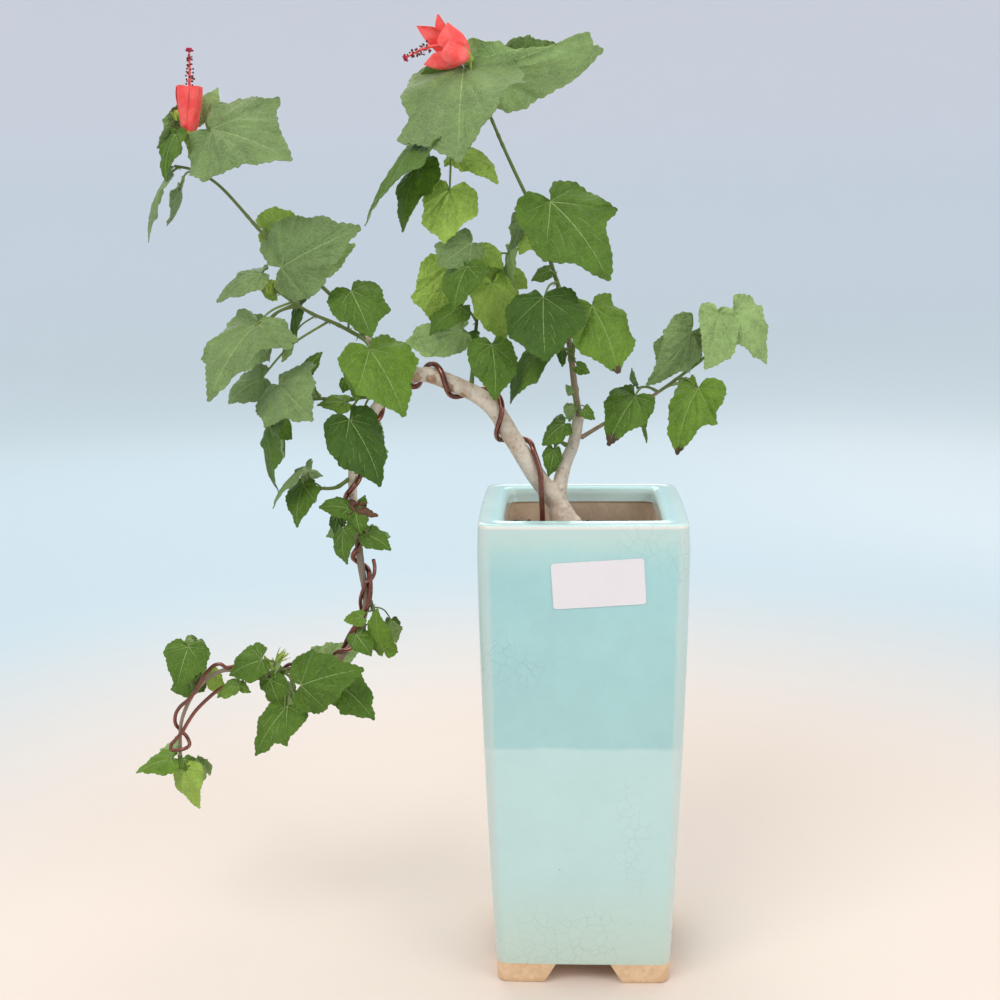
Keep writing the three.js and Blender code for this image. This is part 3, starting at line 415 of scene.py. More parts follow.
class Graph:
    """Adds nodes to a tree and joins them."""

    def __init__(self, tree):
        self.tree = tree

    def fill(self, node, values):
        """Gives a node's inputs their plain values, or the sockets that feed them."""
        for key, value in values.items():
            if isinstance(value, bpy.types.NodeSocket):
                self.tree.links.new(value, node.inputs[key])
            else:
                node.inputs[key].default_value = value
        return node

    def node(self, kind, inputs, **settings):
        node = self.tree.nodes.new(kind)
        for key, value in settings.items():
            setattr(node, key, value)
        return self.fill(node, inputs)

    def math(self, operation, *values):
        return self.node("ShaderNodeMath", dict(enumerate(values)), operation=operation).outputs[0]

    def plus(self, first, second):
        return self.math("ADD", first, second)

    def minus(self, first, second):
        return self.math("SUBTRACT", first, second)

    def times(self, first, second):
        return self.math("MULTIPLY", first, second)

    def vector(self, operation, first, second, output="Vector"):
        node = self.node("ShaderNodeVectorMath", {0: first, 1: second}, operation=operation)
        return node.outputs[output]

    def mix(self, mask, first, second):
        """The first colour, turning into the second where the mask is 1."""
        return self.node("ShaderNodeMix", {0: mask, 6: first, 7: second}, data_type="RGBA").outputs[2]

    def lay(self, base, tint, mask, share):
        """A tint over a colour, at a share of its strength."""
        return self.mix(self.times(mask, share), base, tint)

    def step(self, value, low, high, bottom=0.0, top=1.0):
        """A soft step of a value from low to high."""
        values = {"Value": value, "From Min": low, "From Max": high, "To Min": bottom, "To Max": top}
        return self.node("ShaderNodeMapRange", values, interpolation_type="SMOOTHSTEP").outputs[0]

    def place(self):
        return self.node("ShaderNodeTexCoord", {}).outputs["Object"]

    def place_parts(self):
        return self.node("ShaderNodeSeparateXYZ", {0: self.place()}).outputs

    def noise(self, scale, detail=3.0, rough=0.55):
        values = {"Vector": self.place(), "Scale": scale, "Detail": detail, "Roughness": rough}
        return self.node("ShaderNodeTexNoise", values).outputs["Fac"]

    def cell_edges(self, scale, vector):
        """The distance from the edges of cells that fill the surface."""
        values = {"Vector": vector, "Scale": scale}
        return self.node("ShaderNodeTexVoronoi", values, feature="DISTANCE_TO_EDGE").outputs["Distance"]

    def sockets(self, inputs, outputs):
        """The inputs and outputs of a node group, as (name, kind, default) and (name, kind)."""
        for name, kind, default in inputs:
            socket = self.tree.interface.new_socket(name, in_out="INPUT", socket_type="NodeSocket" + kind)
            socket.default_value = default
        for name, kind in outputs:
            self.tree.interface.new_socket(name, in_out="OUTPUT", socket_type="NodeSocket" + kind)
        return self.node("NodeGroupInput", {}).outputs, self.node("NodeGroupOutput", {})

    def use(self, name, **values):
        """A node of a shared group, which is built the first time that it is asked for."""
        group = bpy.data.node_groups.get(name)
        if group is None:
            group = bpy.data.node_groups.new(name, "ShaderNodeTree")
            GROUPS[name](Graph(group))
        return self.node("ShaderNodeGroup", values, node_tree=group).outputs

    def mottle(self, first, second, scale, **more):
        return self.use("Mottle", First=first, Second=second, Scale=scale, **more)["Colour"]

    def mottled(self, base, light, dark, scale):
        """One colour in two tones."""
        return self.mottle(shade(base, light), shade(base, dark), scale)

    def specks(self, scale, size, share):
        return self.use("Specks", Scale=scale, Size=size, Share=share)["Mask"]

    def relief(self, scale):
        return self.use("Relief", Scale=scale)["Height"]

    def finish(self, tone, height, distance, strength=1.0):
        """Feeds a colour to the shader, and to its normal a height over a distance in millimetres."""
        values = {"Height": height, "Distance": distance * MM, "Strength": strength}
        bump = self.node("ShaderNodeBump", values).outputs[0]
        self.fill(self.shader, {"Base Color": tone, "Normal": bump})


def build_mottle(graph):
    """Two colours that drift into each other at two scales."""
    inputs, output = graph.sockets(
        [("First", "Color", (1, 1, 1, 1)), ("Second", "Color", (0, 0, 0, 1)), ("Scale", "Float", 100.0),
         ("Balance", "Float", 0.5), ("Softness", "Float", 0.2)],
        [("Colour", "Color"), ("Mask", "Float")],
    )
    broad = graph.noise(inputs["Scale"])
    fine = graph.noise(graph.times(inputs["Scale"], 5.3), 2.0)
    value = graph.plus(graph.times(broad, 0.7), graph.times(fine, 0.3))
    low = graph.minus(inputs["Balance"], inputs["Softness"])
    high = graph.plus(inputs["Balance"], inputs["Softness"])
    mask = graph.step(value, low, high)
    graph.fill(output, {"Colour": graph.mix(mask, inputs["First"], inputs["Second"]), "Mask": mask})


def build_specks(graph):
    """Small round spots, thinned out by chance."""
    inputs, output = graph.sockets(
        [("Scale", "Float", 400.0), ("Size", "Float", 0.2), ("Share", "Float", 0.5)], [("Mask", "Float")],
    )
    spots = graph.node("ShaderNodeTexVoronoi", {"Vector": graph.place(), "Scale": inputs["Scale"]}).outputs
    chances = graph.node("ShaderNodeSeparateColor", {0: spots["Color"]}).outputs
    size = graph.times(inputs["Size"], chances[0])
    near = graph.step(spots["Distance"], size, graph.times(size, 0.5))
    chosen = graph.math("LESS_THAN", chances[1], inputs["Share"])
    graph.fill(output, {"Mask": graph.times(near, chosen)})


def build_relief(graph):
    """Broad and fine unevenness for a bump."""
    inputs, output = graph.sockets(
        [("Scale", "Float", 300.0), ("Fineness", "Float", 4.0)], [("Height", "Float")],
    )
    broad = graph.noise(inputs["Scale"], 4.0)
    fine = graph.noise(graph.times(inputs["Scale"], inputs["Fineness"]), 3.0, 0.65)
    graph.fill(output, {"Height": graph.plus(broad, graph.times(fine, 0.4))})


GROUPS = {"Mottle": build_mottle, "Specks": build_specks, "Relief": build_relief}


def new_material(name, roughness, **settings):
    """A material and its graph, with the shader's plain settings."""
    material = bpy.data.materials.new(name)
    material.use_nodes = True
    graph = Graph(material.node_tree)
    graph.shader = material.node_tree.nodes["Principled BSDF"]
    values = {"Roughness": roughness}
    values.update((key.replace("_", " "), value) for key, value in settings.items())
    graph.fill(graph.shader, values)
    return material, graph


def shade(values, factor=1.0):
    """A property's colour with its alpha, made lighter or darker."""
    return (*[clamp(value * factor) for value in values], 1.0)


def glaze_edges(graph, tone, worn, parts, height, wavy):
    """The glaze breaks on corners and under the rim, is painted lighter on the inner edge of the rim as
    painted light against the shade in the mouth, and runs thin on its outer edge.
    """
    reach = [graph.math("ABSOLUTE", graph.minus(parts[i], AXIS[i])) for i in (0, 1)]
    width = graph.plus(graph.times(parts[2], 0.03), 0.0995)
    inward = graph.math("DIVIDE", graph.math("MINIMUM", *reach), width)
    outward = graph.math("DIVIDE", graph.math("MAXIMUM", *reach), width)
    blurred = graph.plus(inward, graph.times(graph.noise(55.0), 0.02))
    corner = graph.times(graph.step(blurred, 0.468, 0.494), graph.math("LESS_THAN", height, 267))
    tone = graph.lay(tone, worn, corner, 0.55)
    outside = graph.step(outward, 0.46, 0.48)
    band = graph.times(graph.step(wavy, *BREAK_BAND), outside)
    tone = graph.lay(tone, worn, band, 0.36)
    # Painted light: the inner rounded edge of the rim is made paler to offset the shade inside the mouth
    inside = graph.times(graph.step(outward, 0.44, 0.42), graph.step(height, 269.4, 267.4))
    tone = graph.lay(tone, LIP_PAINTED_LIGHT, inside, 0.85)
    edge = graph.times(graph.step(height, 267.2, 268.0), graph.step(height, 269.5, 268.9))
    return graph.lay(tone, THIN_EDGE, graph.times(edge, outside), 0.7)


def crackle_lines(graph):
    """Fine wandering cracks."""
    wander = graph.node("ShaderNodeTexNoise", {"Vector": graph.place(), "Scale": 60.0}).outputs["Color"]
    bent = graph.vector("ADD", graph.place(), graph.vector("MULTIPLY", wander, (0.006, 0.006, 0.006)))
    return graph.step(graph.cell_edges(150.0, bent), 0.032, 0.008)


def glaze_material(settings):
    material, graph = new_material("Turquoise glaze", 0.1, IOR=1.5, Coat_Weight=0.3, Coat_Roughness=0.04)
    parts = graph.place_parts()
    height = graph.times(parts[2], 1 / MM)
    wavy = graph.plus(height, graph.times(graph.minus(graph.noise(22.0), 0.5), 9.0))
    thick = graph.mottled(settings.glaze, 1.0, 0.93, 28.0)
    thin = graph.mottled(settings.lower_glaze_painted_reflection, 1.0, 0.96, 24.0)
    # Painted reflection: below the wavy line the glaze takes the lighter colour, which stands for the pale
    # floor reflected in it, not a thinner glaze
    tone = graph.mix(graph.step(wavy, *PAINTED_REFLECTION_LINE), thin, thick)
    tone = graph.mix(graph.step(wavy, *FOOT_TINT), tone, shade(settings.foot_glaze))
    tone = graph.mix(graph.step(wavy, *RIM_TINT, 0, 0.5), tone, shade(settings.foot_glaze, 1.04))
    # Painted sheen: the top of the rim is lighter where the light falls on it from above
    tone = graph.mix(graph.step(height, *RIM_TOP), tone, PAINTED_RIM_SHEEN)
    tone = glaze_edges(graph, tone, shade(settings.worn_glaze), parts, height, wavy)
    lines = crackle_lines(graph)
    patches = graph.step(graph.noise(17.0, 1.0), 0.55, 0.68)
    low_patch = graph.times(graph.step(height, *CRACKED_FOOT), graph.step(graph.noise(34.0, 1.0), 0.42, 0.62))
    tone = graph.lay(tone, CRACKLE, graph.times(lines, graph.math("MAXIMUM", patches, low_patch)), 0.22)
    pits = graph.specks(130.0, 0.1, 0.16)
    tone = graph.lay(tone, PIT, pits, 0.8)
    tone = graph.lay(tone, RUST, graph.specks(85.0, 0.1, 0.12), 0.8)
    sunk = graph.math("MAXIMUM", pits, graph.times(lines, 0.12))
    graph.finish(tone, graph.minus(graph.times(graph.noise(45.0, 2.0), 0.6), sunk), 0.4, 0.5)
    return material


def clay_material(settings):
    material, graph = new_material("Bare clay", 0.85)
    tone = graph.mottled(settings.clay, 1.0, 0.8, 90.0)
    foot = graph.step(graph.place_parts()[2], 0.016, 0.013, 0.0, 0.8)
    tone = graph.mix(foot, tone, graph.mottle(*FIRED_CLAY, 60.0))
    tone = graph.lay(tone, CLAY_GRIT, graph.specks(520.0, 0.3, 0.3), 0.4)
    graph.finish(tone, graph.relief(500.0), 0.3)
    return material


def soil_material(settings):
    material, graph = new_material("Potting soil", 0.95)
    tone = graph.mix(graph.specks(330.0, 0.35, 0.2), graph.mottled(settings.soil, 1.0, 1.9, 170.0), SOIL_BITS)
    graph.finish(tone, graph.relief(420.0), 0.8)
    return material


def label_material(settings):
    material, graph = new_material("White label", 0.42)
    graph.finish(graph.mottled(settings.label, 1.0, 0.97, 40.0), graph.relief(900.0), 0.03)
    return material


def earthy(graph, tone):
    """Bark with soil on its foot and bare wood where it has torn off."""
    high = graph.plus(graph.place_parts()[2], graph.times(graph.noise(160.0), 0.008))
    soiled = graph.step(high, (SOIL_TOP + 9) * MM, (SOIL_TOP + 1) * MM, 0.0, 0.75)
    tone = graph.mix(soiled, tone, SOIL_STAIN)
    ragged = graph.times(graph.noise(420.0), 0.0035)
    torn_wood = graph.mottle(*TORN_WOOD, 260.0)
    for middle, radius in TORN_BARK:
        gap = graph.vector("DISTANCE", graph.place(), AXIS + Vector(middle) * MM, "Value")
        patch = graph.step(graph.plus(gap, ragged), (radius + 1.6) * MM, (radius + 0.6) * MM, 0.0, 0.8)
        tone = graph.mix(patch, tone, torn_wood)
    return tone


def bark_material(name, light, dark, scale=60.0, marks=None):
    material, graph = new_material(name, 0.75)
    tone = graph.mottle(shade(light), shade(dark), scale, Balance=0.56, Softness=0.1)
    tone = graph.mix(0.45, tone, graph.mottled(light, 1.1, 0.74, scale * 5))
    dots = graph.specks(560.0, 0.42, 0.5)
    tone = graph.lay(tone, shade(dark, 0.66), dots, 0.65)
    if marks:
        tone = marks(graph, tone)
    graph.finish(tone, graph.plus(graph.relief(380.0), graph.times(dots, 0.5)), 0.35)
    return material


def wire_material(settings):
    look = {"Metallic": 0.85, "Coat_Weight": 0.7, "Coat_Roughness": 0.12}
    material, graph = new_material("Copper-brown wire", 0.3, **look)
    graph.fill(graph.shader, {"Roughness": graph.step(graph.noise(240.0), 0.3, 0.7, 0.2, 0.36)})
    graph.finish(graph.mottled(settings.wire, 1.0, 0.62, 90.0), graph.relief(600.0), 0.05)
    return material


def leaf_material(name, base, sheen=0.12, roughness=0.5):
    look = {"Sheen_Weight": sheen, "Sheen_Roughness": 0.4, "Specular_IOR_Level": 0.25}
    material, graph = new_material(name, roughness, **look)
    tone = graph.mottled(base, 1.14, 0.8, 75.0)
    net = graph.step(graph.cell_edges(270.0, graph.place()), 0.17, 0.0)
    tone = graph.lay(tone, shade(base, 1.6), net, 0.24)
    tone = graph.lay(tone, shade(base, 1.9), graph.specks(700.0, 0.2, 0.14), 0.4)
    graph.finish(tone, graph.minus(graph.relief(190.0), graph.times(net, 0.3)), 0.8)
    return material


def small_material(name, base, roughness=0.55):
    """Twigs, veins, calyx and other small things."""
    material, graph = new_material(name, roughness)
    graph.finish(graph.mottled(base, 1.12, 0.82, 140.0), graph.relief(700.0), 0.12)
    return material


def petal_material(settings):
    material, graph = new_material("Coral petals", 0.42, Sheen_Weight=0.15, Sheen_Roughness=0.4)
    tone = graph.mottle(shade(settings.petal), shade(settings.petal_edge), 120.0, Balance=0.55)
    graph.finish(tone, graph.relief(420.0), 0.15)
    return material


# Pot, soil and label

FOOT_CUTS = 8
GAP_CUTS = 12
CORNER_CUTS = 10
SIDE_CUTS = 2 * FOOT_CUTS + GAP_CUTS + CORNER_CUTS
WALL_CUTS = 24
DRAIN_CUTS = 32


def pot_width(height):
    settings = bpy.context.scene.bonsai_pot
    def swell(part):
        return math.sin(part * math.pi * POT_SWELL)
    share = min(height / POT_BELLY_HEIGHT, 1)
    return blend(settings.foot_width / MM, settings.belly_width / MM, swell(share) / swell(1))


def inner_width(height):
    share = (height - FLOOR_TOP) / (POT_HEIGHT - FLOOR_TOP)
    return blend(INNER_FOOT_WIDTH, INNER_MOUTH_WIDTH, share)


def square_ring(width, height, gap=FOOT_GAP_TOP):
    """A level of the pot: round its four sides, each a foot, a gap and a foot, and its four corners."""
    reach = 0.5 - POT_CORNER
    stops = (-reach, -gap / 2 / width, gap / 2 / width, reach)
    along = []
    for low, high, count in zip(stops, stops[1:], (FOOT_CUTS, GAP_CUTS, FOOT_CUTS)):
        along += [blend(low, high, i / count) for i in range(count)]
    side = [(0.5 + POT_BOW * (1 - (y / reach) ** 2), y) for y in along]
    for i in range(CORNER_CUTS):
        turn = math.pi / 2 * i / CORNER_CUTS
        side.append((reach + POT_CORNER * math.cos(turn), reach + POT_CORNER * math.sin(turn)))
    ring = [Vector((x * width, y * width, height)) for x, y in side]
    return [Matrix.Rotation(math.pi / 2 * k, 3, "Z") @ point for k in range(4) for point in ring]


def pot_levels():
    """The levels of the pot's skin from its foot gaps up, over the rim and down inside: (width, height)."""
    bend = bpy.context.scene.bonsai_pot.rim_round / MM
    glazed_from = FOOT_HEIGHT + 1
    levels = [(pot_width(FOOT_HEIGHT), FOOT_HEIGHT)]
    for i in range(WALL_CUTS + 1):
        height = blend(glazed_from, POT_BELLY_HEIGHT, i / WALL_CUTS)
        levels.append((pot_width(height) + GLAZE_THICK, height))
    rim = pot_width(POT_BELLY_HEIGHT) - 0.6
    for turn in np.linspace(0, math.pi / 2, 7):
        width = rim - 2 * bend * (1 - math.cos(turn))
        levels.append((width, POT_HEIGHT - bend + bend * math.sin(turn)))
    lip = inner_width(POT_HEIGHT) + 0.2
    low, high = rim - 2 * bend, lip + 2 * RIM_INNER_ROUND
    for width in np.linspace(low, high, 6)[1:-1]:
        dip = GLAZE_THICK * math.sin(math.pi * (low - width) / (low - high))
        levels.append((width, POT_HEIGHT - dip))
    for turn in np.linspace(math.pi / 2, 0, 9):
        width = lip + 2 * RIM_INNER_ROUND * (1 - math.cos(turn))
        levels.append((width, POT_HEIGHT - RIM_INNER_ROUND + RIM_INNER_ROUND * math.sin(turn)))
    edge = POT_HEIGHT - GLAZED_LIP
    mouth = inner_width(edge)
    levels += [(mouth - 0.2, edge + 1.4), (mouth - 0.6, edge + 0.4), (mouth, edge), (mouth + 1.3, edge - 0.2)]
    levels += [(inner_width(height) + 1.3, height) for height in (edge - 1.5, 240, 180, 90, FLOOR_TOP)]
    return levels


def add_face(form, corners, finish):
    made = form.faces.new(corners)
    made.material_index = finish


def add_feet(form, lowest):
    """Four feet under the lowest ring, each from one gap round its corner to the next. Gives their edges."""
    edges = []
    for k in range(4):
        turn = Matrix.Rotation(math.pi / 2 * k, 3, "Z")
        first = k * SIDE_CUTS + FOOT_CUTS + GAP_CUTS
        columns = [(first + i) % len(lowest) for i in range(2 * FOOT_CUTS + CORNER_CUTS + 1)]
        above = [lowest[c] for c in columns]
        above.append(form.verts.new(turn @ Vector((FOOT_GAP_TOP / 2, FOOT_GAP_TOP / 2, FOOT_HEIGHT))))
        edges += [(above[-2], above[-1]), (above[-1], above[0])]
        for height in (8, 4, 0.9, 0):
            gap = blend(FOOT_GAP, FOOT_GAP_TOP, height / FOOT_HEIGHT)
            width = pot_width(height) - (1.4 if height == 0 else 0)
            ring = square_ring(width, height, gap)
            points = [ring[c] for c in columns] + [turn @ Vector((gap / 2, gap / 2, height))]
            below = [form.verts.new(point) for point in points]
            for i in range(len(below)):
                after = (i + 1) % len(below)
                add_face(form, (below[i], below[after], above[after], above[i]), BARE)
            above = below
        add_face(form, list(reversed(above)), BARE)
    return edges


def add_floors(form, lowest, inmost, foot_edges):
    """The underside between the feet and the floor inside, both with the drain hole."""
    total = len(lowest)
    edges = list(foot_edges)
    drain = []
    for height in (FOOT_HEIGHT, FLOOR_TOP):
        hole = [turned(turn, DRAIN_DIAMETER / 2, height) for turn in round_steps(DRAIN_CUTS)]
        drain.append([form.verts.new(point) for point in hole])
    for i in range(DRAIN_CUTS):
        after = (i + 1) % DRAIN_CUTS
        add_face(form, (drain[0][i], drain[1][i], drain[1][after], drain[0][after]), BARE)
    for k in range(4):
        for i in range(GAP_CUTS):
            start = k * SIDE_CUTS + FOOT_CUTS + i
            edges.append((lowest[start], lowest[start + 1]))
    floor = [(inmost[k], inmost[(k + 1) % total]) for k in range(total)]
    for outline, hole in ((edges, drain[0]), (floor, drain[1])):
        pairs = outline + [(hole[i], hole[(i + 1) % DRAIN_CUTS]) for i in range(DRAIN_CUTS)]
        found = [form.edges.get(pair) or form.edges.new(pair) for pair in pairs]
        filled = bmesh.ops.triangle_fill(form, edges=found, use_beauty=True, use_dissolve=False)
        for item in filled["geom"]:
            if isinstance(item, bmesh.types.BMFace):
                item.material_index = BARE


def make_pot():
    settings = bpy.context.scene.bonsai_pot
    form = bmesh.new()
    levels = pot_levels()
    rings = []
    for width, height in levels:
        rings.append([form.verts.new(point) for point in square_ring(width, height)])
    total = 4 * SIDE_CUTS
    for i, (low, high) in enumerate(zip(rings, rings[1:])):
        inside = levels[i + 1][1] < POT_HEIGHT - GLAZED_LIP + 0.1 and i > len(levels) / 2
        for k in range(total):
            after = (k + 1) % total
            add_face(form, (low[k], low[after], high[after], high[k]), BARE if inside else GLAZED)
    add_floors(form, rings[0], rings[-1], add_feet(form, rings[0]))
    bmesh.ops.recalc_face_normals(form, faces=form.faces)
    bmesh.ops.scale(form, vec=(MM, MM, MM), verts=form.verts)
    bmesh.ops.translate(form, vec=AXIS, verts=form.verts)
    mesh = bpy.data.meshes.new("pot_shell")
    form.to_mesh(mesh)
    form.free()
    finishes = [face.material_index for face in mesh.polygons]
    materials = [glaze_material(settings), clay_material(settings)]
    for material in materials:
        mesh.materials.append(material)
    mesh.polygons.foreach_set("material_index", finishes)
    soft = {"width": 0.8 * MM, "segments": 3, "limit_method": "ANGLE", "angle_limit": math.radians(38)}
    make_piece("pot_shell", modified(mesh, ("BEVEL", soft)), materials, ["pot"], sharp=50)


# The soil lies under the model's top face and clear of the walls
SOIL_CUTS = 60
SOIL_SINK = 2.4
SOIL_EASE = 0.7
SOIL_GRAINS = 520
# Where trunk and wire enter the soil: the middle (x, y) and how far grains stay away
TRUNK_FOOT = (-6, 0, 15)
WIRE_FOOT = (-22, -9.5, 2.6)


def soil_height(x, y):
    """The soil's uneven surface, heaped a little round the trunk."""
    heap = 1.6 * math.exp(-((x + 6) ** 2 + y ** 2) / 320)
    rolling = 1.3 * noise.noise(Vector((x, y, 0)) / 9)
    return SOIL_TOP - SOIL_SINK + heap + rolling + 0.5 * noise.noise(Vector((x, y, 5)) / 3)


def make_soil():
    settings = bpy.context.scene.bonsai_pot
    shape = Shape()
    width = inner_width(SOIL_TOP) - SOIL_EASE
    columns = [blend(-0.5, 0.5, i / SOIL_CUTS) * width for i in range(SOIL_CUTS + 1)]
    top = [Vector((x, y, soil_height(x, y))) for y in columns for x in columns]
    low_width = inner_width(FLOOR_TOP + 1) - SOIL_EASE
    bottom = [Vector((p.x / width * low_width, p.y / width * low_width, FLOOR_TOP + 0.4)) for p in top]
    shape.add(top + bottom, slab_faces(SOIL_CUTS, SOIL_CUTS))
    soil = soil_material(settings)
    make_piece("soil_bed", shape.mesh("soil_bed"), [soil], ["soil"], sharp=60)

    grains = Shape()
    rng = random.Random(31)
    for _ in range(SOIL_GRAINS):
        x, y = rng.uniform(-0.48, 0.48) * width, rng.uniform(-0.48, 0.48) * width
        size = rng.uniform(0.5, 1.5)
        feet = (TRUNK_FOOT, WIRE_FOOT)
        if any(math.hypot(x - foot_x, y - foot_y) < clear + size for foot_x, foot_y, clear in feet):
            continue
        centre = Vector((x, y, soil_height(x, y) + size * 0.25))
        way = [rng.uniform(-1, 1) for _ in range(3)]
        turn = Quaternion(way, rng.uniform(0, 3)).to_matrix()
        stretch = Vector((1, rng.uniform(0.6, 1), rng.uniform(0.5, 0.9)))
        corners, faces = lump(size, 6, 5)
        placed = []
        for corner in corners:
            jitter = 1 + 0.18 * noise.noise(corner * 2 + centre)
            placed.append(centre + turn @ Vector([corner[k] * stretch[k] * jitter for k in range(3)]))
        grains.add(placed, faces)
    make_piece("soil_grains", grains.mesh("soil_grains"), [soil])


def lump(radius, around, rows):
    """Corners and faces of a ball."""
    corners = [Vector((0, 0, -radius))]
    for j in range(1, rows):
        tilt = math.pi * j / rows - math.pi / 2
        corners += [turned(turn, math.cos(tilt), math.sin(tilt)) * radius for turn in round_steps(around)]
    corners.append(Vector((0, 0, radius)))
    last = len(corners) - 1
    faces = []
    for k in range(around):
        after = (k + 1) % around
        faces.append((0, 1 + after, 1 + k))
        for j in range(rows - 2):
            low, high = 1 + j * around, 1 + (j + 1) * around
            faces.append((low + k, low + after, high + after, high + k))
        faces.append((last, 1 + (rows - 2) * around + k, 1 + (rows - 2) * around + after))
    return corners, faces


LABEL = {"width": 49.5, "height": 25.2, "thick": 0.35, "corner": 1.8, "x": 8, "z": 238.2, "slope": 3.4}


def make_label():
    """The blank sticker: a thin plate that follows the bow of the pot's front."""
    settings = bpy.context.scene.bonsai_pot
    half_width, half_height = LABEL["width"] / 2, LABEL["height"] / 2
    corner = LABEL["corner"]
    slope = math.radians(LABEL["slope"])
    stops = [half_width - corner + corner * math.sin(math.pi / 2 * i / 6) for i in range(7)]
    middle = list(np.linspace(-half_width + corner, half_width - corner, 14)[1:-1])
    columns = [-x for x in reversed(stops)] + middle + stops
    rows = 8
    shape = Shape()
    layers = []
    for proud in (0.12, 0.12 + LABEL["thick"]):
        for x in columns:
            cut = max(abs(x) - (half_width - corner), 0)
            reach = half_height - corner + math.sqrt(max(corner ** 2 - cut ** 2, 0))
            for j in range(rows + 1):
                y = blend(-reach, reach, j / rows)
                across = LABEL["x"] + x * math.cos(slope) - y * math.sin(slope)
                height = LABEL["z"] + x * math.sin(slope) + y * math.cos(slope)
                width = pot_width(height) + GLAZE_THICK
                bow = POT_BOW * (1 - (across / width / (0.5 - POT_CORNER)) ** 2)
                layers.append(Vector((across, -(width * (0.5 + bow) + proud), height)))
    per = (rows + 1) * len(columns)
    faces = []
    for i in range(len(columns) - 1):
        for j in range(rows):
            a = i * (rows + 1) + j
            faces.append((a + per, a + rows + 1 + per, a + rows + 2 + per, a + 1 + per))
            faces.append((a + 1, a + rows + 2, a + rows + 1, a))
    rim = [i * (rows + 1) for i in range(len(columns))]
    rim += [(len(columns) - 1) * (rows + 1) + j for j in range(1, rows + 1)]
    rim += [i * (rows + 1) + rows for i in range(len(columns) - 2, -1, -1)] + list(range(rows - 1, 0, -1))
    faces += [(a, b, b + per, a + per) for a, b in zip(rim, rim[1:] + rim[:1])]
    shape.add(layers, faces)
    paper = label_material(settings)
    make_piece("label_sticker", shape.mesh("label_sticker"), [paper], ["label"], sharp=40)


# Trunk and boughs, on the same paths as the model's

FORK = (-14, 0, 270)
TRUNK = Path(
    [(-4.5, 0, SOIL_TOP - 7), (-5.5, 0, SOIL_TOP - 4), (-7.5, 0, SOIL_TOP + 1), (-11, 0, 262), FORK],
    [(0, 31), (0.12, 29), (0.3, 22.5), (0.45, 18), (0.68, 15), (0.85, 13.4), (1, 11)],
)
CASCADE = Path(
    [
        FORK, (-25, -2, 285), (-39, -4, 308), (-52, -6, 328), (-72, -8, 339.5), (-88, -9, 344.5),
        (-104, -9, 337), (-118, -8, 321), (-127, -8, 302), (-129, -8, 278), (-126, -8, 238), (-124, -8, 210),
        (-137, -11, 184), (-163, -12, 176), (-186, -12, 172), (-207, -12, 174), (-222, -12, 164),
        (-233, -12, 144), (-235.5, -12, 121),
    ],
    [
        (0, 11), (0.12, 10.2), (0.25, 9), (0.27, 7.4), (0.33, 6.1), (0.42, 5.2), (0.56, 4.2), (0.62, 4),
        (0.8, 2.9), (1, 2.2),
    ],
)
UPRIGHT = Path(
    [FORK, (-12.5, 1.5, 281), (-9.5, 3, 292), (-5, 4, 303), (-2, 4, 318)],
    [(0, 9.5), (0.3, 8.2), (0.6, 7), (1, 6.6)],
)
SHOOT = Path(
    [(-2.2, 4, 314), (-1.9, 4, 318.9), (-4, 4, 334), (-6, 4, 352), (-9, 4, 372), (-13, 4, 391)],
    [(0, 5.4), (0.07, 3.9), (1, 2.8)],
)
SHOOT_JOINTS = (334, 351, 366, 380)
CROWN_BOUGH = Path(
    [(-88, -9, 344.5), (-98, -10, 349), (-110, -11, 357), (-119, -11, 365)], [(0, 6.4), (1, 4.4)],
)
SNAG = Path([(-136, -11, 185), (-138, -12, 180), (-138, -12, 176)], [(0, 2.6), (1, 1.2)])
LIMB_NODES = [
    "trunk", "bough_rise", "bough_arch", "bough_drop", "bough_sweep", "bough_tip", "upright_stem",
    "crown_bough",
]

# Where bark has torn off: the middle of each patch and its radius
TORN_BARK = [
    ((-91, -13, 343), 3.4), ((-83, -13.5, 341.5), 4.0), ((-74, -12.5, 337), 4.2),
    ((-66, -11.5, 332.5), 2.8),
]
# Knots and scars of cut shoots: which path, at what share, turned how far from the front, how large
KNOTS = [
    (CASCADE, 0.245, -25, 2.2), (CASCADE, 0.205, 40, 1.5), (CASCADE, 0.275, 60, 1.7),
    (CASCADE, 0.15, -60, 1.2), (CASCADE, 0.09, 75, 1.4), (UPRIGHT, 0.18, 20, 1.8),
    (UPRIGHT, 0.55, -45, 1.3), (CASCADE, 0.345, 10, 1.4), (CASCADE, 0.47, -20, 1.3),
    (CASCADE, 0.535, 15, 1.6), (CASCADE, 0.66, 0, 1.3), (CASCADE, 0.05, 170, 1.6), (CASCADE, 0.3, 180, 1.5),
    (UPRIGHT, 0.8, 190, 1.3), (CASCADE, 0.18, 205, 1.4), (CASCADE, 0.74, 30, 1.1),
]

# Bark relief: steps along a limb, ridges and rings as shares of the relief, and flutes over the root flare
BARK_STEP = 1.5
LIMB_SPACING = 40
RIDGES = 1.1
RINGS = 0.45
FINE_GRAIN = 0.07
FLARE_TOP = 264
FLARE_HEIGHT = 12
FLUTES = 5
FLUTE_DEPTH = 0.85


def station(path, share):
    """The middle of a path and the directions along, to its front and to its side."""
    along = path.along(share)
    front = (FRONT - along * FRONT.dot(along)).normalized()
    return path.at(share), along, front, along.cross(front)


def around(path, share, degrees, reach):
    """A point beside a path, at an angle from its front."""
    centre, _, front, side = station(path, share)
    turn = math.radians(degrees)
    return centre + front * (math.cos(turn) * reach) + side * (math.sin(turn) * reach)


def triples(items, field):
    """One field of all the items, as rows of three numbers."""
    values = np.empty(len(items) * 3)
    items.foreach_get(field, values)
    return values.reshape(-1, 3)


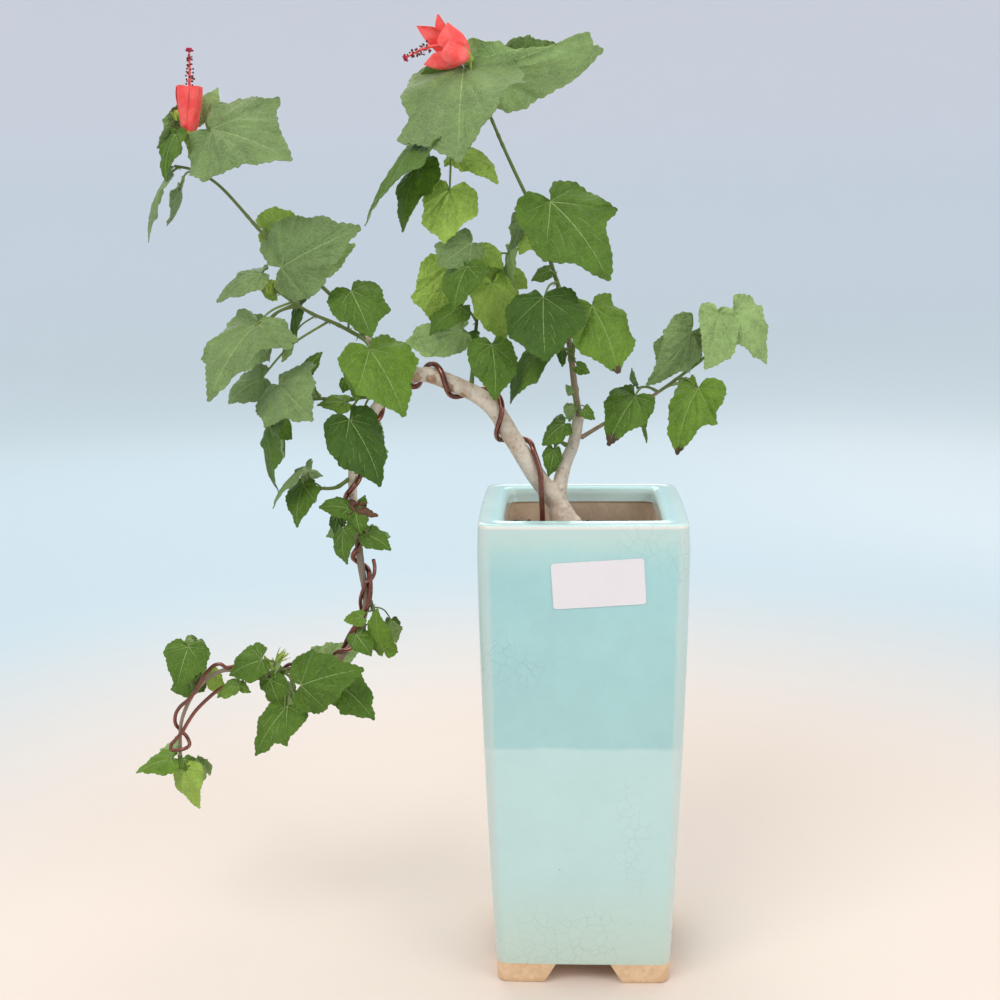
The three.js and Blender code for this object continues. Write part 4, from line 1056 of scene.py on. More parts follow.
def add_bark_relief(mesh, amount):
    """Moves each corner of the bark in or out: ridges along the limb, rings, and flutes at the root."""
    corners = triples(mesh.vertices, "co")
    normals = triples(mesh.vertex_normals, "vector")
    best = np.full(len(corners), 1e9)
    radius = np.ones(len(corners))
    distance = np.zeros(len(corners))
    turn = np.zeros(len(corners))
    travelled = 0
    for path in (TRUNK, CASCADE, UPRIGHT, CROWN_BOUGH):
        for i in range(math.ceil(path.length / BARK_STEP) + 1):
            share = min(i * BARK_STEP / path.length, 1)
            centre, _, front, side = station(path, share)
            offset = corners - np.array(centre)
            gap = np.linalg.norm(offset, axis=1) - path.radius(share)
            closer = gap < best
            best[closer] = gap[closer]
            radius[closer] = path.radius(share)
            distance[closer] = travelled + share * path.length
            turn[closer] = np.arctan2(offset[closer] @ np.array(side), offset[closer] @ np.array(front))
        travelled += path.length + LIMB_SPACING
    shift = np.zeros(len(corners))
    for i, corner in enumerate(corners):
        along, angle, girth = distance[i], turn[i], radius[i]
        ridge = noise.noise(turned(angle, 1.6, along / 14))
        fine = noise.noise(Vector(corner) / 1.3)
        ring = noise.noise(turned(angle, 0.5, along / 1.9 + 50))
        shift[i] = girth * amount * (RIDGES * ridge + RINGS * ring) + FINE_GRAIN * fine
        flare = clamp((FLARE_TOP - corner[2]) / FLARE_HEIGHT) if girth > 7 else 0
        shift[i] += flare * FLUTE_DEPTH * math.sin(angle * FLUTES + 1.2 + math.sin(angle * 2))
    moved = corners + normals * shift[:, None]
    mesh.vertices.foreach_set("co", moved.ravel())
    mesh.update()


def make_bark():
    settings = bpy.context.scene.bonsai_wood
    shape = Shape()
    for path, sides in ((TRUNK, 32), (CASCADE, 20), (UPRIGHT, 20), (CROWN_BOUGH, 16), (SNAG, 10)):
        shape.add(*sweep(*rounded(*path.places(1.2)), sides))
    for path, share, degrees, size in KNOTS:
        centre = around(path, share, degrees, path.radius(share) * 0.78)
        corners, faces = lump(size, 12, 9)
        shape.add([centre + corner for corner in corners], faces)
    skin = modified(
        shape.mesh("bark_rough", 1.0),
        ("REMESH", {"mode": "VOXEL", "voxel_size": settings.grain / MM}),
        ("SMOOTH", {"factor": 0.5, "iterations": 9}),
    )
    add_bark_relief(skin, settings.relief)
    skin.transform(Matrix.Translation(AXIS) @ Matrix.Scale(MM, 4))
    bark = bark_material("Pale bark", settings.bark, settings.shadow, marks=earthy)
    make_piece("bark", skin, [bark], LIMB_NODES)
    make_shoot(settings)
    make_stub()


def make_shoot(settings):
    """The young shoot that carries the crown, swollen at its joints."""
    shoot = Shape()
    places, radii = SHOOT.places(0.8)
    swollen = []
    for place, radius in zip(places, radii):
        joint = max(math.exp(-((place.z - level) / 1.4) ** 2) for level in SHOOT_JOINTS)
        swollen.append(radius * (1 + 0.28 * joint + 0.05 * noise.noise(place / 2)))
    shoot.add(*sweep(*rounded(places, swollen), 16))
    young = bark_material("Young wood", settings.young, shade(settings.young, 0.7)[:3], 90.0)
    make_piece("shoot_bark", shoot.mesh("shoot_bark"), [young], ["upright_shoot"])


def make_stub():
    """The torn dead stub at the fall of the cascade, with loose flakes."""
    stub = Shape()
    rng = random.Random(5)
    core = Path(
        [(-130, -13, 273), (-125, -18, 271), (-119, -20.5, 268.6), (-113.6, -21, 267.4)],
        [(0, 5), (0.4, 6.4), (0.75, 4.2), (1, 1.0)],
    )
    corners, faces = sweep(*rounded(*core.places(0.5)), 16)
    for corner in corners:
        corner += Vector([1.3 * noise.noise(corner / 2.1 + Vector((k * 9, 0, 0))) for k in range(3)])
    stub.add(corners, faces)
    for _ in range(16):
        start = Vector((rng.uniform(-131, -118), rng.uniform(-20, -17), rng.uniform(266.5, 273)))
        way = Vector((rng.uniform(-0.3, 1), rng.uniform(-0.5, 0), rng.uniform(-0.7, 0.5))).normalized()
        length = rng.uniform(3, 6.5)
        flake = [start + way * (length * i / 4) + UP * (0.5 * math.sin(i)) for i in range(5)]
        stub.add(*sweep(flake, [0.9, 1.2, 1.0, 0.5, 0.15], 6, flat=0.35))
    dead = bark_material("Dead wood", colour(108, 72, 50)[:3], colour(44, 30, 26)[:3], 150.0)
    make_piece("dead_stub", stub.mesh("dead_stub"), [dead])


# Training wire

# Where each wire lies round the cascade, as (x, z, degrees): 0 in front, 90 on the side that is to the
# right of a rising limb and to the left of a falling one
UPPER_TURNS = [
    (-33, 298, 70), (-34, 301, 90), (-39.5, 312, 270), (-51.6, 328, 450), (-69, 338, 630), (-83, 344, 810),
    (-93, 343, 990), (-116, 323, 1350), (-127, 288, 1710), (-129, 274, 1890), (-127, 253, 2070),
    (-127, 240, 2250), (-124.5, 230, 2430), (-124, 207, 2520), (-131, 193, 2610), (-139, 183, 2690),
]
LOWER_TURNS = [
    (-124.5, 227, 330), (-124.2, 222, 375), (-124.3, 213, 450), (-126, 203, 545), (-129, 194, 630),
    (-134, 187, 720), (-138, 183.5, 800), (-147, 179, 905), (-157, 176, 1020), (-166, 175, 1160),
    (-174, 173, 1270), (-184, 172, 1360), (-192, 172.5, 1440), (-200, 174, 1530),
]
UPPER_LEAD = [(-22, -9, SOIL_TOP - 4), (-22.4, -9.5, 266), (-23, -9.6, 280), (-23.6, -8.8, 290)]
LOWER_LEAD = [(-118, -12, 240), (-117.2, -13.5, 236), (-117.6, -15, 232), (-120, -15.6, 228.4)]
LOWER_TAIL = [
    (-205, -13.2, 176.2), (-208.4, -12.6, 178), (-211.9, -13, 177.4), (-215.6, -14.4, 174.2),
    (-218.9, -15, 170), (-222.4, -15, 163.6), (-227.6, -14.6, 157.2), (-233.2, -13.6, 152.3),
    (-236.6, -12.2, 146.8), (-237.2, -11, 140.6), (-234.6, -9.8, 136.3), (-231, -10.2, 132),
    (-229.4, -12.4, 128.3), (-232.3, -14.8, 126.7), (-240, -13.8, 126.1), (-239.8, -14, 128.9),
    (-236.7, -15.2, 132.6), (-232.4, -15.2, 137.5), (-229, -14.6, 143.1), (-224.2, -14.4, 149.9),
    (-217.6, -14.4, 156.6), (-210.4, -14, 162.6), (-202.4, -13, 167.2),
]


def winding(turns, diameter):
    """Points of a wire wound close round the cascade."""
    samples = [CASCADE.at(i / 600) for i in range(601)]
    shares, angles = [], []
    for x, z, angle in turns:
        nearest = min(range(601), key=lambda i: math.hypot(samples[i].x - x, samples[i].z - z))
        shares.append(nearest / 600)
        angles.append(angle)
    points = []
    count = math.ceil((shares[-1] - shares[0]) * CASCADE.length / 1.6)
    for i in range(count + 1):
        share = blend(shares[0], shares[-1], i / count)
        angle = float(np.interp(share, shares, angles))
        points.append(around(CASCADE, share, angle, CASCADE.radius(share) * 1.05 + diameter / 2 + WIRE_REST))
    return points


def make_wires():
    settings = bpy.context.scene.bonsai_wood
    copper = wire_material(settings)
    upper = UPPER_LEAD + winding(UPPER_TURNS, UPPER_WIRE_DIAMETER)
    lower = LOWER_LEAD + winding(LOWER_TURNS, LOWER_WIRE_DIAMETER) + LOWER_TAIL
    wires = {"wire_upper": (upper, UPPER_WIRE_DIAMETER), "wire_lower": (lower, LOWER_WIRE_DIAMETER)}
    for node, (points, diameter) in wires.items():
        run = Path(points, [(0, diameter), (1, diameter)])
        shape = Shape()
        shape.add(*sweep(*rounded(*run.places(0.9)), 14))
        make_piece(node + "_round", shape.mesh(node + "_round"), [copper], [node], sharp=70)


# Leaves: half of a blade's outline from its notch to its tip, as (along, across) in shares of its length
# and half width. It runs round the foot of the blade to the side lobe's tip, which each leaf has at its own
# place, and on to the blade's tip, full on a plain leaf and hollow on a lobed one
FOOT_EDGE = [(0, 0), (-0.09, 0.15), (-0.15, 0.36), (-0.13, 0.6), (-0.05, 0.8)]
SHOULDER = [(0.3, 0.92), (0.68, 0.985)]
PLAIN_SIDE = [(0.1, 0.965), (0.25, 0.87), (0.43, 0.69), (0.62, 0.46), (0.79, 0.25), (0.92, 0.095), (1, 0)]
LOBED_SIDE = [(0.06, 0.71), (0.16, 0.54), (0.31, 0.45), (0.5, 0.375), (0.68, 0.27), (0.85, 0.13), (1, 0)]
TOOTH_STEPS = (0.1, 0.75, 1.0, 0.6)
# Heights over the blade's plane, in shares of its length
EDGE_SWAY = 0.062
EDGE_SWAYS = 4.2
QUILT = 0.03
QUILT_WIDTH = 0.05
SWELLING = 0.05
EDGE_WAVES = (0.026, 0.015)
TIP_DROOP = 0.035
EDGE_SINK = 0.018
# From which sharpness a side lobe ends in a corner
CORNER_LOBE = 0.22
# Lengths in millimetres from which a leaf is finer, has ribs below, or has side veins
LARGE_LEAF = 24
RIBBED_BELOW = 18
MIDDLE_LEAF = 13
# Where side veins leave the middle vein and the others, and at what angle
SIDE_VEINS = ((0.24, 0.42, 0.58, 0.74), (0.4, 0.66))
SIDE_VEIN_TURN = 50
# Finishes of a leaf's faces: the tones by their order, then these
# The tones are lit and shaded copies of the leaf green as well as its real shades: painted light and painted
# shade, set leaf by leaf
TONES = ("bright", "mid", "dark", "sheen", "lit", "pale")
UNDERSIDE = 6
VEIN = 7
BURNT = 8
# From which share of its length a leaf's tip is burnt, by mass and by the leaf's place in its list
BURNT_TIPS = {("right", 0): 0.84, ("right", 3): 0.93, ("crown_right", 0): 0.95, ("crown_top", 3): 0.97}


class Blade:
    """One leaf's blade: its directions, outline and surface."""

    def __init__(self, leaf, rng):
        settings = bpy.context.scene.bonsai_leaf
        base = Vector((leaf["x"], leaf["y"], leaf["z"]))
        tip = Vector((leaf["tip_x"], leaf["y"] + leaf["reach"], leaf["tip_z"]))
        self.base = base
        self.length = (tip - base).length
        self.along = (tip - base).normalized()
        flat = (FACING - self.along * FACING.dot(self.along)).normalized()
        beside = flat.cross(self.along)
        turn = math.radians(leaf["turn"])
        self.face = flat * math.cos(turn) + beside * math.sin(turn)
        self.across = self.along.cross(self.face)
        self.half = self.length * leaf["wide"] / 2
        self.thick = max(settings.thick / MM, self.length / 130)
        self.lobed = clamp((self.length - LOBED_FROM) / (LOBED_FULLY - LOBED_FROM))
        self.droop = rng.uniform(0.2, 1.0)
        self.waves = [(rng.uniform(4, 6), rng.uniform(0, 6)), (rng.uniform(8, 11), rng.uniform(0, 6))]
        self.tooth = settings.tooth / MM * (0.45 + self.length / 55)
        self.vein_ends = {}
        chance = []
        for _ in range(2):
            chance += [rng.uniform(0.28, 0.46), rng.uniform(0.9, 1.0), rng.uniform(0, 0.6) * self.lobed]
        cut = leaf.get("cut") or chance
        left = self.half_edge(1, cut[:3], rng)
        right = self.half_edge(-1, cut[3:], rng)
        self.edge = np.array(left + right[-2::-1])
        angles = np.arctan2(self.edge[:, 1], self.edge[:, 0])
        reach = np.hypot(self.edge[:, 0], self.edge[:, 1])
        order = np.argsort(angles)
        self.edge_angles, self.edge_reach = angles[order], reach[order]
        runs = [points for points, _, _ in self.veins()]
        starts = np.array([start for run in runs for start in run[:-1]])
        ends = np.array([end for run in runs for end in run[1:]])
        self.vein_starts, self.vein_steps = starts, ends - starts

    def from_veins(self, x, y):
        """The distance of points from the nearest vein."""
        offset = np.stack([x, y], axis=1)[:, None] - self.vein_starts
        share = np.clip((offset * self.vein_steps).sum(2) / (self.vein_steps ** 2).sum(1), 0, 1)
        gap = offset - self.vein_steps * share[..., None]
        return np.hypot(gap[..., 0], gap[..., 1]).min(1)

    def half_edge(self, sign, lobe, rng):
        """Toothed points of one half of the edge in millimetres, from the notch to the tip."""
        along, across, sharp = lobe
        full = 0.55 + 0.45 * across
        shares = [(t, w * full) for t, w in FOOT_EDGE]
        shares += [(blend(-0.02, along, t), blend(0.82 * full, across, w) * (1 - 0.12 * t * sharp))
                   for t, w in SHOULDER if along > 0.12]
        corner = len(shares)
        shares.append((along, across))
        for plain, lobed in zip(PLAIN_SIDE, LOBED_SIDE):
            t, w = (blend(plain[k], lobed[k], sharp) for k in (0, 1))
            shares.append((blend(along, 1, t), w * across))
        shape = []
        for t, w in shares:
            shape.append(Vector((t * self.length, w * self.half * (1 + rng.uniform(-0.03, 0.03)), 0)))
        foot = shape[len(FOOT_EDGE) - 1]
        self.vein_ends[sign] = [Vector((p.x, p.y * sign)) for p in (foot, shape[corner])]
        stops = (0, corner, len(shape) - 1) if sharp > CORNER_LOBE else (0, len(shape) - 1)
        points = []
        depth = 0.16 + 0.0145 * self.length
        seed = Vector((rng.uniform(0, 90), 0, sign * 5))
        for start, end in zip(stops, stops[1:]):
            run = Path(shape[start:end + 1], [(0, 1), (1, 1)])
            teeth = max(2, round(run.length / self.tooth))
            for i in range(teeth):
                size = depth * rng.uniform(0.35, 1.35)
                for k, rise in enumerate(TOOTH_STEPS):
                    share = (i + (k + 1) / len(TOOTH_STEPS)) / teeth
                    place, way = run.at(share), run.along(share)
                    sway = noise.noise(seed + place * (EDGE_SWAYS / self.length)) * EDGE_SWAY * self.length
                    out = size * rise + sway * clamp(place.y / self.half * 3)
                    if start == 0 and i == 0 or share == 1 and end == len(shape) - 1:
                        out = 0
                    points.append((place.x - way.y * out, (place.y + way.x * out) * sign))
        return points

    def heights(self, x, y):
        """The height of the surface over the leaf's plane at points in millimetres."""
        t, w = x / self.length, y / self.half
        angle = np.arctan2(y, x)
        reach = np.hypot(x, y)
        share = np.clip(reach / np.interp(angle, self.edge_angles, self.edge_reach), 0, 1.05)
        lift = self.length * LEAF_ARCH * 4 * np.maximum(t, 0) * (1 - t) - self.half * LEAF_FOLD * np.abs(w)
        headings = [math.atan2(p.y, p.x) for sign in (1, -1) for p in self.vein_ends[sign][:2]]
        stops = sorted([-math.pi, 0.0, math.pi, *headings])
        slot = np.clip(np.searchsorted(stops, angle) - 1, 0, len(stops) - 2)
        low, high = np.array(stops)[slot], np.array(stops)[slot + 1]
        between = np.clip((angle - low) / (high - low), 0, 1)
        lift += SWELLING * self.length * np.sin(math.pi * between) ** 0.8 * share * (1.12 - share)
        beside = self.from_veins(x, y) / (QUILT_WIDTH * self.length)
        lift += QUILT * self.length * (1 - np.exp(-beside ** 2))
        size = self.length * share ** 2.4
        for (count, phase), amount in zip(self.waves, EDGE_WAVES):
            lift += amount * size * np.sin(angle * count + phase)
        lift -= TIP_DROOP * self.droop * self.length * np.clip((t - 0.6) / 0.4, 0, 1) ** 2
        return lift - EDGE_SINK * size

    def place(self, x, y, proud=0.0):
        """Points of the surface, with a height over it."""
        x, y = np.atleast_1d(np.asarray(x, float)), np.atleast_1d(np.asarray(y, float))
        points = np.array(self.base) + np.outer(x, self.along) + np.outer(y, self.across)
        points = points + np.outer(self.heights(x, y) + proud, self.face)
        return [Vector(point) for point in points]

    def solid(self):
        """Corners, faces of the upper side with its rim, and faces of the underside."""
        fine = 10 if self.length > LARGE_LEAF else 6 if self.length > MIDDLE_LEAF else 4
        rings = [*np.linspace(1 / fine, 0.9, fine - 2), 0.96, 1.0]
        edge = self.edge
        count = len(edge)
        x = np.concatenate([[0], *[edge[:, 0] * ring for ring in rings]])
        y = np.concatenate([[0], *[edge[:, 1] * ring for ring in rings]])
        top = self.place(x, y, self.thick / 2)
        bottom = self.place(x, y, -self.thick / 2)
        per = len(top)
        upper = []
        for i in range(count - 1):
            upper.append((0, 2 + i, 1 + i))
            for j in range(len(rings) - 1):
                a, b = 1 + j * count + i, 1 + (j + 1) * count + i
                upper.append((a, a + 1, b + 1, b))
        lower = [tuple(k + per for k in reversed(face)) for face in upper]
        last = 1 + (len(rings) - 1) * count
        rim = [0] + [1 + j * count for j in range(len(rings) - 1)] + [last + i for i in range(count)]
        rim += [1 + j * count + count - 1 for j in range(len(rings) - 2, -1, -1)]
        for a, b in zip(rim, rim[1:] + rim[:1]):
            upper.append((b, a, a + per, b + per))
        return top + bottom, upper, lower

    def veins(self):
        """Runs of veins over the blade, as points in its plane with the width at the start and end."""
        runs = []
        width = 0.28 + self.length * 0.0066
        mains = [Vector((self.length, 0))] + [p for sign in (1, -1) for p in self.vein_ends[sign][:2]]
        for end in mains:
            runs.append(([end * share for share in np.linspace(0.0, 0.93, 9)], width, width * 0.3))
        if self.length < MIDDLE_LEAF:
            return runs
        for number, end in enumerate(mains):
            heading = math.atan2(end.y, end.x)
            for share in SIDE_VEINS[min(number, 1)]:
                for sign in (1, -1):
                    turn = heading + sign * math.radians(SIDE_VEIN_TURN)
                    points = [end * (share + 0.05 * sign)]
                    for step in range(7):
                        turn -= sign * math.radians(6)
                        spot = points[-1] + Vector((math.cos(turn), math.sin(turn))) * (self.length * 0.055)
                        reach = np.interp(math.atan2(spot.y, spot.x), self.edge_angles, self.edge_reach)
                        if spot.length > reach * 0.92:
                            break
                        points.append(spot)
                    if len(points) > 2:
                        runs.append((points, width * 0.4, width * 0.15))
        return runs

    def ribs(self, below=False):
        """Corners and faces of the raised veins on one side."""
        corners, faces = [], []
        sign = -1 if below else 1
        for points, wide, thin in self.veins():
            x, y = np.array([p.x for p in points]), np.array([p.y for p in points])
            spots = self.place(x, y, sign * self.thick / 2)
            radii = list(np.linspace(wide, thin, len(spots)) / 2)
            more, sides = sweep(spots, radii, 4, flat=0.55, lead=self.across)
            start = len(corners)
            corners += more
            faces += [tuple(i + start for i in face) for face in sides]
        return corners, faces


class Seeded:
    """The model's own repeatable source of numbers from 0 to 1."""

    def __init__(self, seed):
        self.state = seed

    def next(self):
        self.state = (self.state * 1664525 + 1013904223) % 4294967296
        return self.state / 4294967296


LEAF_FIELDS = ("x", "z", "tip_x", "tip_z", "y", "reach", "turn", "wide", "tone", "cut")
# Leaves on the far side: how far behind, how large, how far to the back and how far turned, in degrees
FAR_DEPTH = (14, 34)
MORE_DEPTH = (8, 30)
FAR_SIZE = (0.55, 0.7)
FAR_REACH = (0.25, 0.6)
FAR_SWING = 12
FAR_TONES = {"bright": "bright", "lit": "bright", "pale": "bright", "dark": "dark", "sheen": "sheen"}


def as_leaf(row):
    return dict(zip(LEAF_FIELDS, row))


def spring_point(paths, place):
    """The place on a mass's twigs that a leaf springs from: the nearest, a little towards the root."""
    best = min(
        ((path.at(i / 40) - place).length, k, i) for k, path in enumerate(paths) for i in range(41)
    )
    distance, path, share = best[0], paths[best[1]], best[2] / 40
    share = clamp(share - distance * 0.35 / path.length, TWIG_DIAMETER / path.length)
    return path.at(share)


def far_leaves(plan, paths, seed, count, depth=FAR_DEPTH):
    """Leaves on the far side: each lies behind a leaf that shows, smaller and turned by the seeded rule."""
    source = Seeded(seed)
    showing = [as_leaf(row) for row in plan["leaves"]]
    showing.sort(key=lambda leaf: -math.hypot(leaf["tip_x"] - leaf["x"], leaf["tip_z"] - leaf["z"]))
    leaves = []
    for front in showing[:count]:
        spring = spring_point(paths, Vector((front["x"], front["y"], front["z"])))
        y = spring.y + blend(*depth, source.next())
        size = blend(*FAR_SIZE, source.next())
        swing = math.radians(blend(-FAR_SWING, FAR_SWING, source.next()))
        dx = (front["tip_x"] - front["x"]) * size
        dz = (front["tip_z"] - front["z"]) * size
        x = front["x"] + (front["tip_x"] - front["x"]) * 0.14
        z = front["z"] + (front["tip_z"] - front["z"]) * 0.14
        leaves.append({
            "x": x, "z": z, "y": y,
            "tip_x": x + dx * math.cos(swing) - dz * math.sin(swing),
            "tip_z": z + dx * math.sin(swing) + dz * math.cos(swing),
            "reach": math.hypot(dx, dz) * blend(*FAR_REACH, source.next()),
            "turn": 180 + front["turn"], "wide": 0.85, "behind": True,
            "tone": FAR_TONES.get(front["tone"], "mid"),
        })
    return leaves
